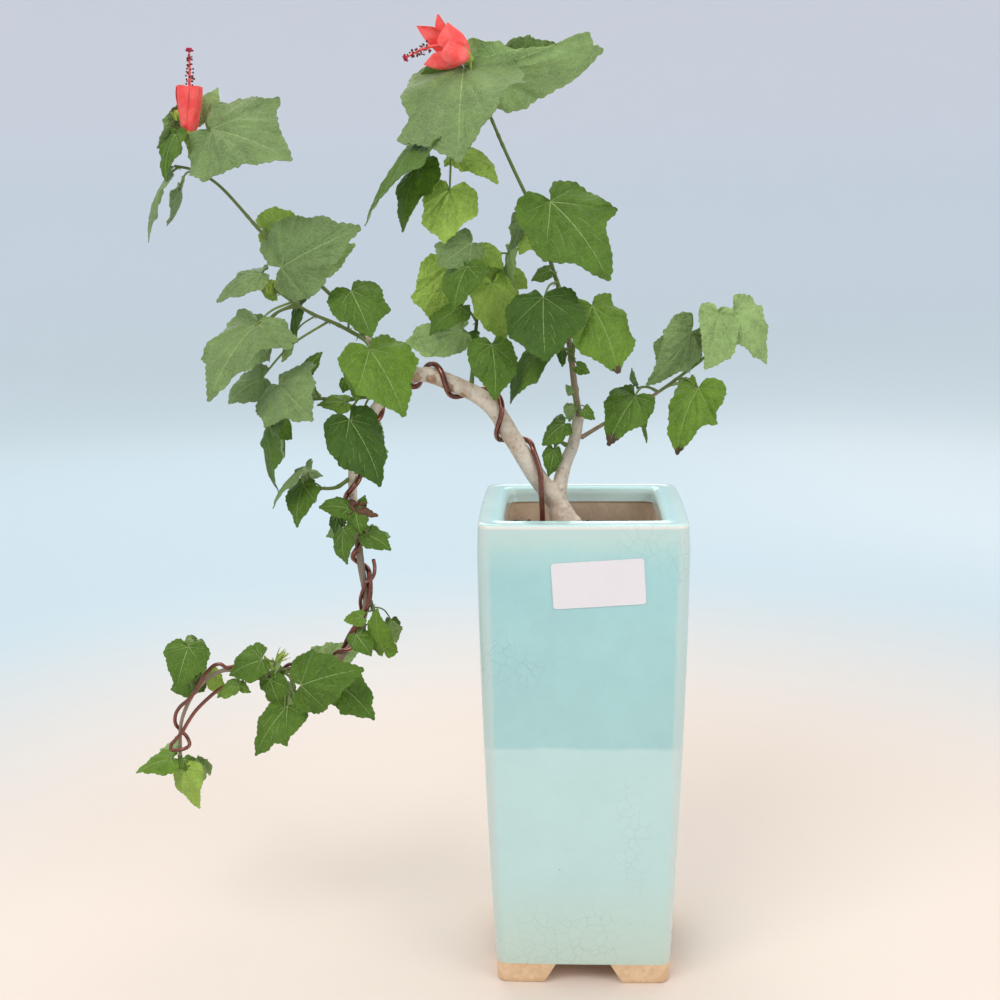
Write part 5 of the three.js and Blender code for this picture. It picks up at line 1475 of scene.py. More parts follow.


# Masses of foliage, as in the model: a stem, twigs off it, and the leaves that show. A row is the blade's
# foot (x, z), its tip (x, z), the foot's depth y, the tip's reach to the back, its turn, its width, its tone
# and, where it shows, its cut: the place, width and sharpness of the side lobe on either side
# The tones in the rows are partly painted light and painted shade: each leaf has the lighter or darker copy
# of the green that matches how lit it shows
MASSES = {
    "top_left": {"seed": 11, "far": 2, "twigs": [
        [(-119.5, -9.7, 365.5), (-130, -7.5, 380), (-143, -9, 394), (-169, -12, 418), (-196, -16, 449),
         (-208, -18, 456), (-217, -19, 458)],
        [(-206, -17.6, 455), (-207.4, -19, 462), (-207, -20, 470)],
        [(-207.6, -19, 463), (-210.6, -20, 474), (-213.4, -20, 483)],
    ], "leaves": [
        (-195, 476, -149, 460, -24, -24, 0, 0.98, "sheen", (0.25, 1.02, 0.45, 0.53, 1.02, 0.7)),
        (-202, 481, -195, 499, -8, 4, 0, 0.7, "pale"),
        (-214.5, 474, -220, 450, -23, -5, -34, 0.68, "mid", (0.42, 0.98, 0.2, 0.3, 1.0, 0.1)),
        (-221, 452, -232, 418, -19, -6, -66, 0.62, "sheen", (0.4, 0.9, 0.4, 0.66, 1.1, 0.8)),
        (-213, 485, -226, 467, -13, -5, 62, 0.6, "sheen"), (-174, 424, -151, 429, -4, -4, -10, 0.95, "lit"),
    ]},
    "left_upper": {"seed": 12, "far": 3, "twigs": [
        [(-120.1, -12.9, 365.2), (-134, -14, 373), (-148, -13, 379), (-162, -12, 388), (-170, -12, 394)],
    ], "leaves": [
        (-162, 404, -117, 425, -20, -8, -14, 0.92, "sheen", (0.12, 0.9, 0.0, 0.42, 0.98, 0.3)),
        (-175, 400, -201, 386, -10, 0, -34, 0.8, "sheen", (0.35, 0.8, 0.0, 0.45, 0.95, 0.0)),
        (-176, 374, -198, 336, -22, -28, -18, 0.98, "sheen", (0.6, 0.7, 0.9, 0.14, 1.04, 0.8)),
        (-176, 343, -198, 329, -11, 4, -18, 0.9, "sheen"),
        (-156, 387, -158, 362, -2, -3, -60, 0.85, "dark"), (-162, 363, -167, 351, -3, 0, 65, 0.6, "pale"),
        (-168, 389, -178, 396, -5, 4, 0, 0.9, "lit"),
        (-125, 391, -113, 367, -17, -12, 8, 1.02, "mid", (0.34, 0.95, 0.0, 0.62, 1.02, 0.5)),
        (-115, 360, -95, 326, -24, -16, 20, 0.98, "bright", (0.52, 0.92, 0.45, 0.36, 1.06, 0.4)),
    ]},
    "left_middle": {"seed": 13, "far": 3, "twigs": [
        [(-113.4, -10.6, 332.6), (-121, -13, 332.6), (-131, -14, 331), (-146, -14, 332), (-162, -13, 328),
         (-172, -11, 320)],
    ], "leaves": [
        (-165, 341, -143, 325, -24, -24, -5, 1.12, "sheen", (0.42, 1.0, 0.6, 0.2, 1.12, 0.6)),
        (-153, 346, -144, 357, -8, 3, 0, 0.6, "mid"), (-173, 320, -164, 307, -6, 6, 20, 0.95, "bright"),
        (-173, 318, -170, 280, -15, -3, -64, 0.85, "mid", (0.4, 0.9, 0.2, 0.46, 1.1, 0.6)),
        (-127, 322, -109, 287, -26, -9, 28, 0.95, "dark", (0.54, 0.98, 0.45, 0.28, 0.9, 0.5)),
        (-129, 330, -146, 329, -18, 1, -30, 0.9, "bright"), (-130, 342, -132, 335, -13, 0, 30, 0.9, "mid"),
        (-125, 334, -129, 353, -17, 0, 68, 0.6, "bright"),
    ]},
    "left_small": {"seed": 14, "far": 1, "twigs": [
        [(-131.9, -9.2, 285), (-138, -12, 281.6), (-148, -14, 282), (-155, -16, 286)],
    ], "leaves": [
        (-153, 295, -171, 273, -20, -8, -60, 0.6, "sheen"),
        (-155, 284, -158, 262, -18, -9, -28, 0.92, "mid"), (-157, 288, -146, 287, -8, 3, 40, 0.9, "pale"),
    ]},
    "fall": {"seed": 15, "far": 0, "twigs": [
        [(-129.7, -10.9, 268), (-132, -16.5, 267), (-133, -18, 262)],
    ], "leaves": [
        (-130, 271, -146, 273, -20, -3, -24, 0.9, "mid"), (-126, 270, -123, 257, -21, -1, -12, 0.95, "mid"),
        (-133, 259, -132, 240, -20, -4, -38, 0.85, "mid"),
        (-137, 266, -139, 254, -13, 0, -20, 0.75, "dark"), (-121, 256, -107, 247, -17, -1, 24, 0.9, "mid"),
        (-124, 271, -121, 278, -16, 0, 0, 0.8, "mid"), (-137, 262, -146, 250, -9, 10, 150, 0.85, "bright"),
    ]},
    "bend": {"seed": 16, "far": 0, "twigs": [
        [(-120.7, -8.4, 213.5), (-117.5, -11.5, 206), (-114, -15, 196)],
    ], "leaves": [
        (-124, 208, -135, 206, -19, 0, 0, 0.85, "bright"), (-128, 198, -119, 187, -20, -5, 12, 0.95, "mid"),
        (-112, 190, -116, 214, -23, 1, 42, 0.9, "bright"), (-112, 200, -108, 186, -6, 8, 160, 0.85, "mid"),
    ]},
    "low_fan": {"seed": 17, "far": 2, "twigs": [
        [(-174, -14.7, 173.5), (-171, -18, 176), (-177, -21, 183)],
    ], "leaves": [
        (-159, 171, -123, 184, -29, -8, 2, 0.94, "mid", (0.36, 0.94, 0.1, 0.3, 1.0, 0.35)),
        (-138, 170, -118, 150, -24, -4, 20, 0.92, "mid", (0.45, 0.85, 0.3, 0.35, 0.95, 0.1)),
        (-168, 157, -186, 131, -25, -10, -18, 0.98, "mid", (0.45, 0.66, 0.35, 0.55, 0.9, 0.95)),
        (-178, 172, -171, 153, -21, 1, -25, 0.92, "mid", (0.4, 0.85, 0.1, 0.4, 0.95, 0.1)),
        (-182, 184, -203, 173, -23, 5, -10, 0.92, "mid", (0.25, 1.08, 0.4, 0.35, 0.85, 0.1)),
        (-198, 168, -210, 160, -19, 0, -36, 0.85, "bright"),
        (-197, 168, -190, 163, -19, 0, 0, 0.7, "bright"), (-177, 175, -169, 188, -19, -1, 40, 0.5, "pale"),
        (-178, 178, -181, 186, -21, 0, 0, 0.6, "lit"),
    ]},
    "tip_upper": {"seed": 18, "far": 1, "twigs": [
        [(-225.3, -11, 163), (-229, -7, 169), (-229, -9, 179), (-225, -15, 190)],
    ], "leaves": [
        (-225, 190, -230, 168, -18, -12, 0, 1, "mid", (0.25, 1.05, 0.4, 0.4, 1.0, 0.2)),
        (-223, 168, -242, 158, -5, 4, 0, 0.85, "mid"), (-217, 171, -211, 156, -5, 0, 30, 0.7, "lit"),
    ]},
    "tip_lower": {"seed": 19, "far": 1, "twigs": [
        [(-235.6, -12, 120.6), (-236, -12, 117), (-236, -12, 113.6)],
    ], "leaves": [
        (-240, 120, -261, 112, -14, -2, -30, 0.88, "bright", (0.2, 0.85, 0.25, 0.22, 0.92, 0.35)),
        (-232, 115, -224, 91, -15, -3, -34, 0.92, "lit", (0.28, 0.95, 0.0, 0.22, 0.98, 0.1)),
        (-232, 121, -228, 112, -15.5, 0, 0, 0.8, "mid"),
    ]},
    "crown_top": {"seed": 20, "far": 5, "twigs": [
        [(-13.1, 4, 391.5), (-17, 3, 404), (-23, 0, 425), (-31, -3, 442), (-39, -5, 459), (-46, -7, 475),
         (-52, -8, 490), (-58, -11, 506)],
        [(-53, -8, 492), (-64, -8, 484), (-75, -10, 470)],
    ], "leaves": [
        (-62, 506, -63, 457, -14, -38, -6, 1.05, "sheen", (0.7, 0.98, 0.6, 0.16, 1.0, 0.5)),
        (-54, 506, 12, 518, -6, 34, -66, 0.62, "pale", (0.5, 0.98, 0.1, 0.84, 0.55, 1.0)),
        (-69, 505, -89, 497, -12, 8, 20, 0.9, "mid"),
        (-80, 473, -114, 425, -25, -4, -60, 0.9, "mid", (0.45, 0.95, 0.3, 0.3, 1.0, 0.5)),
        (-86, 456, -96, 422, -13, -8, -44, 0.9, "bright", (0.4, 0.9, 0.4, 0.42, 1.1, 0.8)),
        (-84, 478, -88, 470, -5, 3, 0, 0.85, "lit"),
        (-68, 461, -45, 447, -7, -4, 24, 0.92, "lit", (0.3, 0.5, 0.0, 0.5, 1.05, 0.3)),
        (-70, 444, -73, 416, -19, -8, -6, 0.98, "lit", (0.66, 0.95, 0.3, 0.4, 1.05, 0.1)),
        (-17, 437, 14, 397, -24, -18, 16, 0.96, "mid", (0.5, 0.92, 0.15, 0.42, 1.06, 0.85)),
        (-34, 428, -39, 411, -13, -4, 62, 0.8, "sheen"), (-25, 423, -34, 409, -8, 0, 0, 0.95, "lit"),
        (-18, 400, -28, 395, -5, 3, -20, 0.9, "mid"),
        (-21, 387, -20, 356, -22, -22, -6, 1.08, "dark", (0.5, 0.95, 0.05, 0.5, 1.0, 0.1)),
    ]},
    "crown_middle": {"seed": 21, "far": 4, "twigs": [
        [(-61, -7, 340.7), (-59, -5, 363), (-57, -3, 385), (-57, -2, 400), (-60, -4, 414)],
    ], "leaves": [
        (-59, 416, -76, 404, -20, -6, 10, 1.0, "sheen", (0.75, 0.95, 0.2, 0.5, 0.9, 0.0)),
        (-61, 404, -68, 382, -27, -12, -24, 0.98, "mid", (0.35, 0.95, 0.1, 0.35, 0.95, 0.1)),
        (-73, 403, -82, 372, -12, 6, 34, 0.95, "lit", (0.62, 0.98, 0.5, 0.4, 0.95, 0.2)),
        (-65, 382, -83, 368, -21, -2, -34, 0.9, "mid"), (-55, 412, -43, 402, -10, 1, 14, 0.92, "lit"),
        (-54, 405, -41, 391, -3, 4, 14, 0.92, "lit"),
        (-49, 394, -44, 362, -7, -3, 26, 0.95, "lit", (0.5, 0.95, 0.3, 0.55, 0.98, 0.4)),
        (-39, 412, -37, 390, -4, -1, -66, 0.7, "pale"), (-40, 398, -30, 390, 5, 3, 0, 0.92, "lit"),
        (-49, 362, -47, 333, -24, -8, 22, 0.94, "mid", (0.3, 0.95, 0.0, 0.4, 0.97, 0.0)),
        (-57, 366, -63, 367, -9, 0, 0, 0.85, "mid"),
        (-66, 369, -96, 363, -14, -2, 24, 0.86, "pale", (0.7, 0.55, 0.0, 0.62, 0.85, 0.0)),
    ]},
    "crown_right": {"seed": 22, "far": 2, "twigs": [
        [(-5.2, 1.3, 351.2), (-5, -4, 357), (-3, -8, 368), (1, -10, 376)],
    ], "leaves": [
        (5, 382, 19, 347, -18, -14, 20, 0.96, "bright", (0.5, 0.94, 0.1, 0.62, 0.88, 0.3)),
        (-20, 360, -40, 329, -10, -5, -50, 0.8, "mid", (0.6, 0.9, 0.0, 0.5, 0.9, 0.0)),
        (-12, 358, -11, 348, -8, 0, 40, 0.7, "dark"), (-3, 348, 4, 344, -5, 0, 0, 0.95, "bright"),
    ]},
    "shoulder": {"seed": 23, "far": 0, "twigs": [
        [(-2.6, 1.2, 322.4), (-3, -2, 324), (-4, -5, 324)],
    ], "leaves": [
        (-7, 326, -7, 317, -6, 0, 20, 0.8, "sheen"), (1, 323, 7, 318, -4, 0, 0, 0.85, "bright"),
        (-6, 333, -9, 338, -5, 0, 0, 0.8, "sheen"),
    ]},
    "fork": {"seed": 24, "far": 1, "twigs": [
        [(-10, 1.4, 303.5), (-14, -1, 306), (-15, -3, 303)],
    ], "leaves": [
        (-10, 316, -22, 304, -7, 0, -28, 0.92, "mid"), (-16, 301, -19, 286, -4, 0, 20, 0.7, "mid"),
    ]},
    "right": {"seed": 25, "far": 4, "brown": 0.55, "twigs": [
        [(0.7, 4.2, 307.4), (13, 3, 315), (26, 2, 322), (37, 1, 329), (52, -1, 340), (68, -3, 353),
         (74, -5, 360)],
        [(42, 0.4, 333), (36, -3, 336), (30, -6, 336)],
    ], "leaves": [
        (29, 332, 14, 306, -13, -8, -22, 0.98, "mid", (0.3, 1.0, 0.2, 0.36, 0.9, 0.35)),
        (29, 338, 27, 347, -7, 0, 55, 0.5, "sheen"), (31, 320, 36, 305, -6, 0, 55, 0.5, "mid"),
        (63, 337, 50, 303, -17, -14, -34, 0.98, "bright", (0.45, 0.72, 0.35, 0.48, 0.95, 1.0)),
        (59, 367, 35, 338, -9, -6, 38, 0.8, "sheen", (0.28, 0.85, 0.35, 0.46, 1.0, 1.0)),
        (73, 377, 66, 348, -15, -8, 18, 0.9, "pale", (0.2, 0.7, 0.0, 0.72, 0.95, 0.4)),
        (83, 377, 102, 348, -2, 2, 20, 1.05, "pale", (0.34, 0.95, 0.75, 0.24, 1.02, 0.5)),
    ]},
}
# How deep a mass's first twig starts inside its limb
SUNK_START = 1.2


def petiole_run(blade, root):
    """Places and radii of a leaf's stalk, from its twig into the blade's notch."""
    end = blade.place(min(2.2, blade.length * 0.2), 0.0)[0]
    way = blade.base - root
    bend = root.lerp(blade.base, 0.6) + UP * (way.length * 0.1)
    thick = min(1.3, 0.6 + blade.length * 0.03)
    girths = [(0, thick * 1.35), (0.08, thick * 1.05), (0.9, thick * 0.85), (1, thick * 0.5)]
    run = Path([root, bend, end], girths)
    return run.places(max(0.9, run.length / 14))


def tree_of(corners, faces):
    return BVHTree.FromPolygons(corners, faces)


def grow_twigs(plan, rng):
    """The twigs of a mass, with knobs where leaves have been: their paths and their shape."""
    paths = []
    for i, points in enumerate(plan["twigs"]):
        thick = TWIG_DIAMETER if i == 0 else TWIG_DIAMETER * 0.75
        paths.append(Path(points, [(0, thick * 1.15), (0.06, thick), (1, thick * 0.65)]))
    wood = Shape()
    for path in paths:
        places, radii = path.places(0.9)
        if path is paths[0]:
            sunk = places[0] - path.along(0) * SUNK_START
            places, radii = [sunk, *places], [radii[0] * 1.1, *radii]
        knobs = [rng.uniform(0.15, 0.95) * path.length for _ in range(max(2, int(path.length / 14)))]
        swollen = []
        for k, radius in enumerate(radii):
            distance = k * path.length / len(radii)
            joint = max(math.exp(-((distance - knob) / 1.1) ** 2) for knob in knobs)
            swollen.append(radius * (1 + 0.22 * joint))
        corners, faces = sweep(*rounded(places, swollen), 12)
        wood.add(corners, faces, 0)
        brown = round(plan.get("brown", 0) * len(faces)) if path is paths[0] else 0
        start = len(wood.finishes) - len(faces)
        wood.finishes[start:start + brown] = [1] * brown
    return paths, wood


def grow_mass(name, plan, taken, materials, twig_materials):
    """One mass: twigs, stalks and blades of its own; a leaf behind is left out where it would meet what is
    there already.
    """
    settings = bpy.context.scene.bonsai_leaf
    rng = random.Random(plan["seed"])
    paths, wood = grow_twigs(plan, rng)
    leaves = Shape()
    showing = [as_leaf(row) for row in plan["leaves"]]
    behind = far_leaves(plan, paths, plan["seed"], plan["far"])
    behind += far_leaves(plan, paths, plan["seed"] + 100, settings.far_leaves, MORE_DEPTH)
    for number, leaf in enumerate(showing + behind):
        blade = Blade(leaf, rng)
        corners, upper, lower = blade.solid()
        tree = tree_of(corners, upper + lower)
        if leaf.get("behind") and any(tree.overlap(other) for other in taken):
            continue
        taken.append(tree)
        leaves.add(corners, upper, TONES.index(leaf["tone"]))
        burnt = BURNT_TIPS.get((name, number))
        if burnt:
            reach = [(corner - blade.base).dot(blade.along) / blade.length for corner in corners]
            start = len(leaves.finishes) - len(upper)
            for i, face in enumerate(upper):
                if reach[face[-1]] > burnt:
                    leaves.finishes[start + i] = BURNT
        start = len(leaves.corners) - len(corners)
        leaves.faces.extend(tuple(i + start for i in face) for face in lower)
        leaves.finishes.extend([UNDERSIDE] * len(lower))
        leaves.add(*blade.ribs(), VEIN)
        if blade.length > RIBBED_BELOW:
            leaves.add(*blade.ribs(below=True), VEIN)
        root = spring_point(paths, blade.base)
        places, radii = petiole_run(blade, root)
        wood.add(*sweep(places, radii, 8), 2)
        add_stipules(wood, root, blade.base - root, rng)
    mesh = leaves.mesh("leaves_" + name)
    make_piece("leaves_" + name, mesh, materials, ["foliage_" + name], sharp=62)
    make_piece("twigs_" + name, wood.mesh("twigs_" + name), twig_materials)


def add_stipules(wood, root, way, rng):
    """Two small bracts beside a stalk's foot."""
    if way.length < 4:
        return
    way = way.normalized()
    side = way.orthogonal().normalized()
    for sign in (1, -1):
        lean = (way * 0.6 + side * sign).normalized()
        length = rng.uniform(1.6, 2.8)
        start = root + side * sign * 0.8
        places = [start + lean * (length * i / 3) for i in range(4)]
        wood.add(*sweep(places, [0.4, 0.38, 0.25, 0.06], 5, flat=0.5), 2)


def make_foliage():
    settings = bpy.context.scene.bonsai_leaf
    wood = bpy.context.scene.bonsai_wood
    looks = {"sheen": (0.16, 0.5), "dark": (0.02, 0.5)}
    materials = []
    # One leaf material for each tone; the tones are partly painted light and painted shade
    for tone in TONES:
        sheen, roughness = looks.get(tone, (0.04, 0.52))
        materials.append(leaf_material("Leaf " + tone, getattr(settings, tone), sheen, roughness))
    materials.append(leaf_material("Leaf underside", settings.pale, 0.08, 0.65))
    materials.append(small_material("Leaf veins", settings.vein))
    materials.append(small_material("Burnt leaf tip", colour(74, 56, 38)[:3], 0.8))
    twigs = [
        small_material("Green twig", settings.twig),
        bark_material("Brown twig", wood.young, wood.shadow, 120.0),
        small_material("Leaf stalk", shade(settings.twig, 1.25)[:3]),
    ]
    taken = []
    for limb in LIMB_NODES + ["wire_upper", "wire_lower", "upright_shoot"]:
        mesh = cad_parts[limb].data
        corners = [(vertex.co - AXIS) / MM for vertex in mesh.vertices]
        taken.append(tree_of(corners, [tuple(face.vertices) for face in mesh.polygons]))
    for name, plan in MASSES.items():
        grow_mass(name, plan, taken, materials, twigs)


# Flowers and buds

# A petal lies between two edges that run from the flower's base over two places to its tip, and it bulges
FLOWERS = {
    "left": {
        "base": (-208.4, -20, 469.5), "tip": (-206.5, -20, 498), "tube": 6.9,
        "column": [(-207, -20, 480), (-206.6, -20, 497), (-205.9, -20, 507), (-205.6, -20, 516)],
        "reach": 1.9, "bracts": 7, "spread": 0.3, "bract": 9.5,
    },
    "upper": {
        "base": (-58.5, -15, 510.5), "tip": (-76, -16, 518),
        "petals": [
            ([(-70.8, -10.5, 518), (-77, -10, 527), (-76, -10.5, 533.6)],
             [(-61.5, -11, 518.5), (-70.5, -10.5, 527), (-75.2, -10.5, 533.8)], 2.0),
            ([(-69, -11.5, 510), (-80.5, -12, 518.5), (-86.6, -13, 527.4)],
             [(-65, -10.5, 518), (-76, -11.5, 526.8), (-86.4, -13, 528)], 2.2),
            ([(-68, -13, 508), (-78, -12.5, 509), (-82.6, -15, 508)],
             [(-66, -10, 513), (-75, -10, 515), (-82.4, -15, 508.4)], 2.0),
            ([(-67, -17, 506), (-76.5, -17.5, 505.6), (-82.8, -18.5, 507.8)],
             [(-67, -20.5, 513.4), (-76.5, -19, 514), (-82.6, -18.5, 508.3)], 2.4),
            ([(-69, -18.5, 514), (-75.6, -18.5, 519), (-70.2, -17.5, 528.8)],
             [(-58.4, -16, 515.5), (-62, -16.5, 523), (-69.8, -17.5, 528.9)], 3.4),
            ([(-65, -21, 506.8), (-73.5, -22.5, 511.5), (-69.6, -22.2, 519.2)],
             [(-58.6, -19, 511.5), (-61, -20.5, 516), (-69.2, -22.2, 519.3)], 2.6),
        ],
        "column": [(-64, -15.5, 514), (-75, -16.5, 517.4), (-84, -17.5, 515.4), (-91.5, -18.5, 511.8)],
        "reach": 2.5, "bracts": 7, "spread": 0.75, "bract": 7,
    },
}
# The calyx under a flower, as (height, radius) from its foot over its rim and down inside
CALYX_CUP = [(-1.6, 0.9), (-0.6, 1.7), (1.2, 2.7), (3.6, 3.3), (5.6, 3.4), (5.8, 3.0), (2.0, 1.0)]
CUP_SIDES = 18
ANTHERS = 34
# Each bud's foot, tip and width
BUDS = {
    "left_upper": ((-170.5, -14, 391), (-170, -15, 399), 7.4),
    "top_left": ((-213.4, -20, 482), (-213.8, -20.5, 488), 5.4),
    "low_fan": ((-173, -21, 183.5), (-167, -22, 190), 3.6),
}


def axis_frame(base, tip):
    """The length of an axis and the turn that brings the upright to it."""
    way = Vector(tip) - Vector(base)
    return way.length, UP.rotation_difference(way.normalized()).to_matrix()


def tube_petals(base, turn, length, radius):
    """Edges of five petals furled into a closed tube, each over the next."""
    petals = []
    for number in range(5):
        edges = []
        for side, reach in ((-44, 0.95), (44, 1.06)):
            edge = []
            for share in (0.3, 0.6, 0.84, 1.0):
                angle = math.radians(72 * number + side + 24 * share)
                out = radius * reach * (0.24 + 0.76 * min(share / 0.84, 1) ** 0.9)
                edge.append(base + turn @ turned(angle, out, share * length))
            edges.append(edge)
        petals.append((*edges, radius * 0.3))
    return petals


def petal_grid(base, way, row, number, blunt):
    """Points of one petal between its edges, bulging away from the flower's axis."""
    left, right, bulge = row
    sides = [Path([base, *edge], [(0, 1), (1, 1)]) for edge in (left, right)]
    columns, rows = 12, 18
    points = []
    for j in range(rows + 1):
        v = j / rows
        a, b = sides[0].at(v), sides[1].at(v)
        out = (a + b) / 2 - base
        out = (out - way * out.dot(way)).normalized()
        lift = bulge * min(1, 3 * v) * (1 - (1 - blunt) * v ** 3)
        for i in range(columns + 1):
            u = i / columns
            wave = 0.28 * v * math.sin(u * 9 + number * 2) * (b - a).length / 12
            crest = blunt * 0.9 * v ** 4 * math.sin(math.pi * u)
            points.append(a.lerp(b, u) + out * (lift * math.sin(math.pi * u) + wave) + way * crest)
    return points, columns, rows


def sheet_solid(points, columns, rows, thick):
    """A thin closed solid of a grid of points."""
    faces = slab_faces(columns, rows)
    normals = [Vector() for _ in points]
    for face in faces[:columns * rows]:
        a, b, c, d = (points[k] for k in face)
        normal = (c - a).cross(d - b)
        for k in face:
            normals[k] += normal
    shifted = [point - normal.normalized() * thick for point, normal in zip(points, normals)]
    return points + shifted, faces


def bract(shape, base, turn, length, angle, spread, wide):
    """One narrow leaf of a calyx, from under the petals outwards and up."""
    points = []
    for j in range(9):
        v = j / 8
        out = 1.6 + length * (spread * v - 0.12 * v * v)
        rise = length * (v * 0.9) - 0.6
        for i in range(5):
            u = blend(-1, 1, i / 4)
            half = wide * math.sin(math.pi * min(0.18 + 0.82 * v, 0.985)) ** 0.8 * u
            place = Vector((out - 0.18 * abs(half), half, rise))
            points.append(base + turn @ (Matrix.Rotation(angle, 3, "Z") @ place))
    shape.add(*sheet_solid(points, 4, 8, 0.25))


def make_calyx(name, flower, material):
    """A flower's stalk, its cup and the narrow leaves round it."""
    base = Vector(flower["base"])
    _, turn = axis_frame(flower["base"], flower["tip"])
    green = Shape()
    stalk = [base + turn @ Vector((0, 0, 0.5)), base - UP * 2.5, base - UP * 5.5]
    green.add(*sweep(*rounded(stalk, [1.0, 0.8, 0.8]), 10))
    corners = []
    for height, radius in CALYX_CUP:
        for angle in round_steps(CUP_SIDES):
            scallop = 1 + (0.15 * math.cos(angle * 5) if 5 < height < 6 else 0)
            corners.append(base + turn @ turned(angle, radius, height * scallop))
    green.add(corners, tube_faces(len(CALYX_CUP), CUP_SIDES))
    for angle in round_steps(flower["bracts"]):
        bract(green, base, turn, flower["bract"], angle + 0.3, flower["spread"], 0.75)
    make_piece("calyx_" + name, green.mesh("calyx_" + name), [material], sharp=60)


def make_buds(material):
    """Flower buds, each a green ball in two rings of narrow leaves."""
    tufts = Shape()
    for base, tip, wide in BUDS.values():
        base = Vector(base)
        length, turn = axis_frame(base, tip)
        corners, faces = lump(wide * 0.3, 12, 9)
        tufts.add([base + turn @ Vector((c.x, c.y, c.z * 1.35 + length * 0.45)) for c in corners], faces)
        for ring, (count, spread) in enumerate(((7, 0.5), (5, 0.12))):
            for k in range(count):
                angle = math.tau * k / count + ring * 0.4
                bract(tufts, base, turn, length * (0.85 + 0.15 * ring), angle, spread, wide * 0.1)
    make_piece("bud_tufts", tufts.mesh("bud_tufts"), [material], sharp=60)


def make_flowers():
    settings = bpy.context.scene.bonsai_flower
    petal = petal_material(settings)
    calyx = small_material("Calyx green", settings.calyx)
    anther = small_material("Dark anthers", settings.anther)
    stigma = small_material("Crimson stigma", settings.stigma)
    for name, flower in FLOWERS.items():
        base = Vector(flower["base"])
        length, turn = axis_frame(flower["base"], flower["tip"])
        petals = Shape()
        tube = "tube" in flower
        rows = tube_petals(base, turn, length, flower["tube"]) if tube else flower["petals"]
        for number, row in enumerate(rows):
            grid = petal_grid(base, turn @ UP, row, number, 1.0 if tube else 0.0)
            petals.add(*sheet_solid(*grid, 0.3))
        make_piece("petals_" + name, petals.mesh("petals_" + name), [petal], sharp=60)
        make_calyx(name, flower, calyx)
        make_column(name, flower, [petal, anther, stigma])
    make_buds(calyx)


def make_column(name, flower, materials):
    """The column with its anthers on short threads, and the stigma's branches at its end."""
    rng = random.Random(len(name))
    shape = Shape()
    column = Path(flower["column"], [(0, 1.7), (0.6, 1.4), (1, 1.0)])
    shape.add(*sweep(*rounded(*column.places(0.8)), 10), 0)
    for i in range(ANTHERS):
        part = i / (ANTHERS - 1)
        share = blend(0.55, 0.96, part)
        centre = column.at(share)
        way = column.along(share)
        side = Quaternion(way, i * 2.4) @ way.orthogonal().normalized()
        reach = flower["reach"] * blend(1.15, 0.6, part) * rng.uniform(0.7, 1.15)
        end = centre + side * reach + way * rng.uniform(-0.6, 0.8)
        shape.add(*sweep([centre, centre.lerp(end, 0.5), end], [0.16, 0.13, 0.12], 5), 0)
        corners, faces = lump(rng.uniform(0.45, 0.72), 7, 5)
        shape.add([end + corner for corner in corners], faces, 1)
    centre, way = column.at(1.0), column.along(1.0)
    for k in range(10):
        side = Quaternion(way, math.tau * k / 10) @ way.orthogonal().normalized()
        end = centre + side * (1.7 if k % 2 else 1.0) + way * (0.7 if k % 2 else 1.6)
        shape.add(*sweep([centre - way * 0.4, centre.lerp(end, 0.6), end], [0.22, 0.18, 0.16], 5), 2)
        corners, faces = lump(0.62, 7, 5)
        shape.add([end + corner for corner in corners], faces, 2)
    make_piece("column_" + name, shape.mesh("column_" + name), materials, sharp=60)


# Stage

CAMERA_PLACE = (-10.4, -799.6, 441.1)
CAMERA_PITCH = 0.2086
CAMERA_YAW = -0.0451
CAMERA_ROLL = -0.0118
STUDIO_RADIUS = 3.2
STUDIO_BEND = 1.4
STUDIO_HEIGHT = 4.2
STUDIO_SIDES = 96
# Distances in metres, along the floor and up the wall, at which its tone starts and ends to change
FAR_FADE = (0.28, 0.95)
WALL_FADE = (2.1, 3.9)
HIGH_WALL_FADE = (3.5, 4.4)
GLOW_FADE = (0.7, 2.4)
# Soft boxes: name, place and size in metres, power in watts, colour
SOFTBOXES = [
    ("Key softbox", (-0.9, -1.3, 1.9), (1.3, 1.0), 21, (1.0, 0.985, 0.96)),
    ("Fill softbox", (1.5, -1.1, 1.1), (1.2, 1.2), 12, (1.0, 0.99, 0.98)),
    ("Top softbox", (0.0, 0.5, 2.1), (1.8, 1.4), 11, (1.0, 1.0, 1.0)),
    ("Back softbox", (-0.4, 1.7, 1.3), (1.4, 1.0), 8, (1.0, 0.99, 0.97)),
]
LIGHT_TARGET = (-0.08, 0, 0.27)
AIR = (1.0, 0.985, 0.96, 1)
AIR_STRENGTH = 0.8


def make_camera(settings):
    forward = Vector((
        math.sin(CAMERA_YAW) * math.cos(CAMERA_PITCH), math.cos(CAMERA_YAW) * math.cos(CAMERA_PITCH),
        -math.sin(CAMERA_PITCH),
    ))
    right = Vector((math.cos(CAMERA_YAW), -math.sin(CAMERA_YAW), 0))
    up = right.cross(forward)
    across = right * math.cos(CAMERA_ROLL) + up * math.sin(CAMERA_ROLL)
    above = up * math.cos(CAMERA_ROLL) - right * math.sin(CAMERA_ROLL)
    data = bpy.data.cameras.new("Camera")
    data.lens = settings.lens
    data.sensor_width = 36
    data.clip_start = 0.05
    data.clip_end = 30
    camera = new_object("Camera", data)
    turn = Matrix((across, above, -forward)).transposed().to_4x4()
    camera.matrix_world = Matrix.Translation(AXIS + Vector(CAMERA_PLACE) * MM) @ turn
    bpy.context.scene.camera = camera


